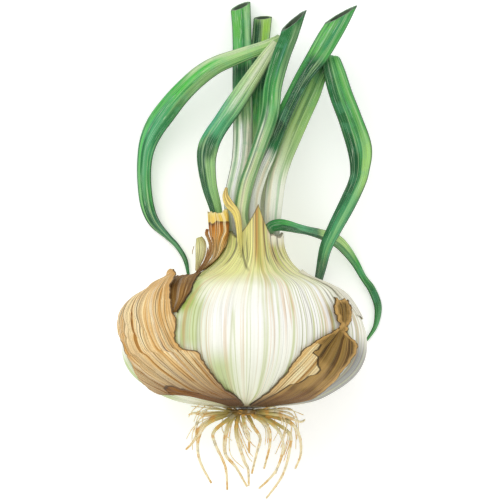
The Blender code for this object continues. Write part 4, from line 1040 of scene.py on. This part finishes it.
def make_loose_strips():
    """Thin dried strips between the pale flap and the pocket, and one beside the flap."""
    finish = dry_finish("loose_strip", [(0.0, (120, 80, 46)), (0.4, (176, 128, 76)), (0.8, (206, 150, 84)),
                                        (1.0, (150, 92, 44))])
    strips = [
        [(-16, 21.6, 42.4, 0.7), (-13.9, 24, 40.6, 1), (-11.9, 27.4, 39.8, 1.1),
         (-11.2, 30.6, 40, 1.2), (-11.9, 33, 40.4, 1.1), (-12.5, 34.6, 40.6, 1.2),
         (-12.2, 35.9, 41, 1)],
        [(-15, 22, 43, 0.5), (-12.7, 24.8, 41.6, 0.7), (-10.9, 28, 40.8, 0.8),
         (-10.3, 31, 41, 0.7), (-10.6, 33.4, 41.4, 0.4)],
        [(-15.6, 21.8, 41.8, 0.5), (-13.6, 24.6, 40, 0.6), (-12.5, 27.6, 39.2, 0.6),
         (-12.1, 30, 39, 0.3)],
        [(-16.6, 30.5, 38.6, 0.25), (-17, 29.2, 38.6, 0.25), (-17.2, 27.8, 38.4, 0.2)],
    ]
    for number, rows in enumerate(strips):
        thread(f"loose_strip_{number}", rows, finish, None, 10, 8, 0.12, number + 60)


def make_skins():
    """The peeling skins of the bulb."""
    tan = papery_finish("skin_tan", (255, 230, 174), (214, 158, 76), (128, 82, 34),
                        ((166, 114, 42), (124, 80, 26), (66, 44, 20)), root_dark=(6.0, 2.7))
    brown = papery_finish("skin_brown", (255, 240, 186), (238, 192, 116), (140, 94, 42),
                          ((146, 118, 60), (104, 78, 32), (52, 40, 20)), (56, 46, 32))
    # painted shade: the left wall is the tan skin in darker tones, as in the shade beside the neck
    shade = ((176, 132, 66), (122, 82, 32), (60, 42, 22))
    inner = papery_finish("skin_tan_in_shade", *shade, shade, (50, 38, 24))
    shade = ((246, 244, 228), (228, 224, 196), (186, 182, 160))
    pale = papery_finish("skin_pale", *shade, shade, (206, 202, 184))
    make_skin("skin_left_sheet", "skin_left", tan, [
        (1.5, -46, -2, 0.4, 0.4, 0.4), (2.5, -44, -6, 0.4, 0.5, 0.4), (3.2, -54, -11, 0.4, 0.5, 0.4),
        (3.8, -86, -15, 0.5, 0.5, 0.4), (4.6, -80, -19, 0.5, 0.6, 0.4), (5.3, -71, -21, 0.5, 0.6, 0.4),
        (5.85, -70, -22, 0.5, 0.6, 0.4), (6.1, -71, -31, 0.5, 0.6, 0.4), (6.7, -76, -33, 0.7, 0.6, 0.5),
        (7.5, -94, -33, 1.2, 0.9, 1), (8.5, -106, -38, 3.6, 2.8, 1.8), (9.4, -104, -42, 4.4, 3.8, 2.9),
        (10.2, -100, -45, 2.6, 3.6, 4.4), (11, -95, -50, 5.8, 6, 6), (11.7, -93, -58, 7, 7.6, 7.8),
        (12.3, -92, -67, 9.8, 10.2, 10.2),
    ], seed=31, columns=160, steps=14, fold_count=5.0, pleats=0.5, pleat_count=2.5, layer=left_notch,
        layer_step=-0.3)
    make_skin("skin_left_wall", "skin_left_inner", inner, [
        (8, -39, -34, 0.5, 0.5, 0.4), (8.8, -46, -32, 0.9, 0.6, 0.4), (9.6, -54, -32, 1.3, 0.8, 0.4),
        (10.4, -64, -37, 2, 1.2, 0.4), (11, -76, -42, 3.2, 1.8, 0.4), (11.5, -84, -49, 4.2, 2.2, 0.4),
        (11.9, -90, -56, 4.7, 2.5, 0.4),
    ], seed=41, columns=70, steps=14, fold_count=3.0, tear=0.4)
    make_skin("skin_right_sheet", "skin_right", brown, [
        (1.5, 12, 66, 0.4, 0.4, 0.4), (2.6, 15, 74, 0.4, 0.5, 0.4), (3.4, 18, 66, 0.4, 0.5, 0.4),
        (4.4, 22, 61, 0.4, 0.6, 0.5), (5.2, 24, 59, 0.4, 0.6, 0.5), (6, 28, 61, 0.4, 0.6, 0.6),
        (6.5, 34, 61, 0.5, 0.6, 0.7), (6.9, 43, 54, 0.5, 0.6, 0.7), (7.3, 49, 54, 0.6, 0.7, 0.7),
        (7.8, 47, 57, 0.8, 0.9, 1), (8.4, 46, 60, 1.2, 1.4, 1.4), (9, 49, 60, 1.6, 1.8, 1.8),
    ], seed=51, columns=120, steps=16, fold_count=3.5, pleats=0.3, pleat_count=1.5, layer=right_fold,
        layer_step=0.3)
    make_skin("skin_shoulder_sheet", "skin_shoulder", pale, [
        (8.2, 70, 118, 0, 0.05, 0), (9.2, 62, 116, 0.3, 0.4, 0.3), (10.2, 60, 112, 0.4, 0.6, 0.5),
        (11.2, 58, 106, 0.4, 0.6, 0.5), (12.2, 58, 98, 0.4, 0.5, 0.4),
    ], seed=61, columns=80, steps=16, fold_count=4.0, tear=0.8, thickness=0.15)


def make_stage():
    """Pale floor, soft light and the camera looking straight down."""
    bpy.ops.mesh.primitive_plane_add(size=FLOOR_SIZE, location=(0.0, 0.0, FLOOR_LEVEL))
    floor = bpy.context.object
    floor.name = "floor"
    paint = Paint("floor", 0.9, gloss=0.1)
    paint.shader.inputs["Emission Color"].default_value = (1.0, 1.0, 1.0, 1.0)
    paint.shader.inputs["Emission Strength"].default_value = FLOOR_GLOW
    paint.colour = tone(248, 248, 248)
    floor.data.materials.append(paint.finish())
    world = bpy.data.worlds.new("studio")
    world.use_nodes = True
    background = world.node_tree.nodes["Background"]
    background.inputs["Color"].default_value = (1.0, 1.0, 1.0, 1.0)
    background.inputs["Strength"].default_value = STUDIO_LIGHT
    bpy.context.scene.world = world
    for name, strength, turn in LAMPS:
        lamp = bpy.data.lights.new(name, "SUN")
        lamp.energy = strength
        lamp.angle = LAMP_SOFTNESS
        item = bpy.data.objects.new(name, lamp)
        item.rotation_euler = turn
        bpy.context.scene.collection.objects.link(item)
    bpy.context.scene.view_settings.view_transform = "Standard"
    camera_data = bpy.data.cameras.new("camera")
    camera_data.lens = LENS
    camera_data.sensor_width = SENSOR
    camera_data.clip_start = 0.1
    camera_data.clip_end = 50.0
    camera = bpy.data.objects.new("camera", camera_data)
    height = MIDDLE_PLANE + VIEW_WIDTH * LENS / SENSOR
    camera.location = (VIEW_MIDDLE[0] * MM, (VIEW_MIDDLE[1] + REST_SHIFT) * MM, height * MM)
    bpy.context.scene.collection.objects.link(camera)
    bpy.context.scene.camera = camera


make_bulb()
make_roots()
make_leaves()
make_neck_sheaths()
make_loose_strips()
make_skins()
make_stage()
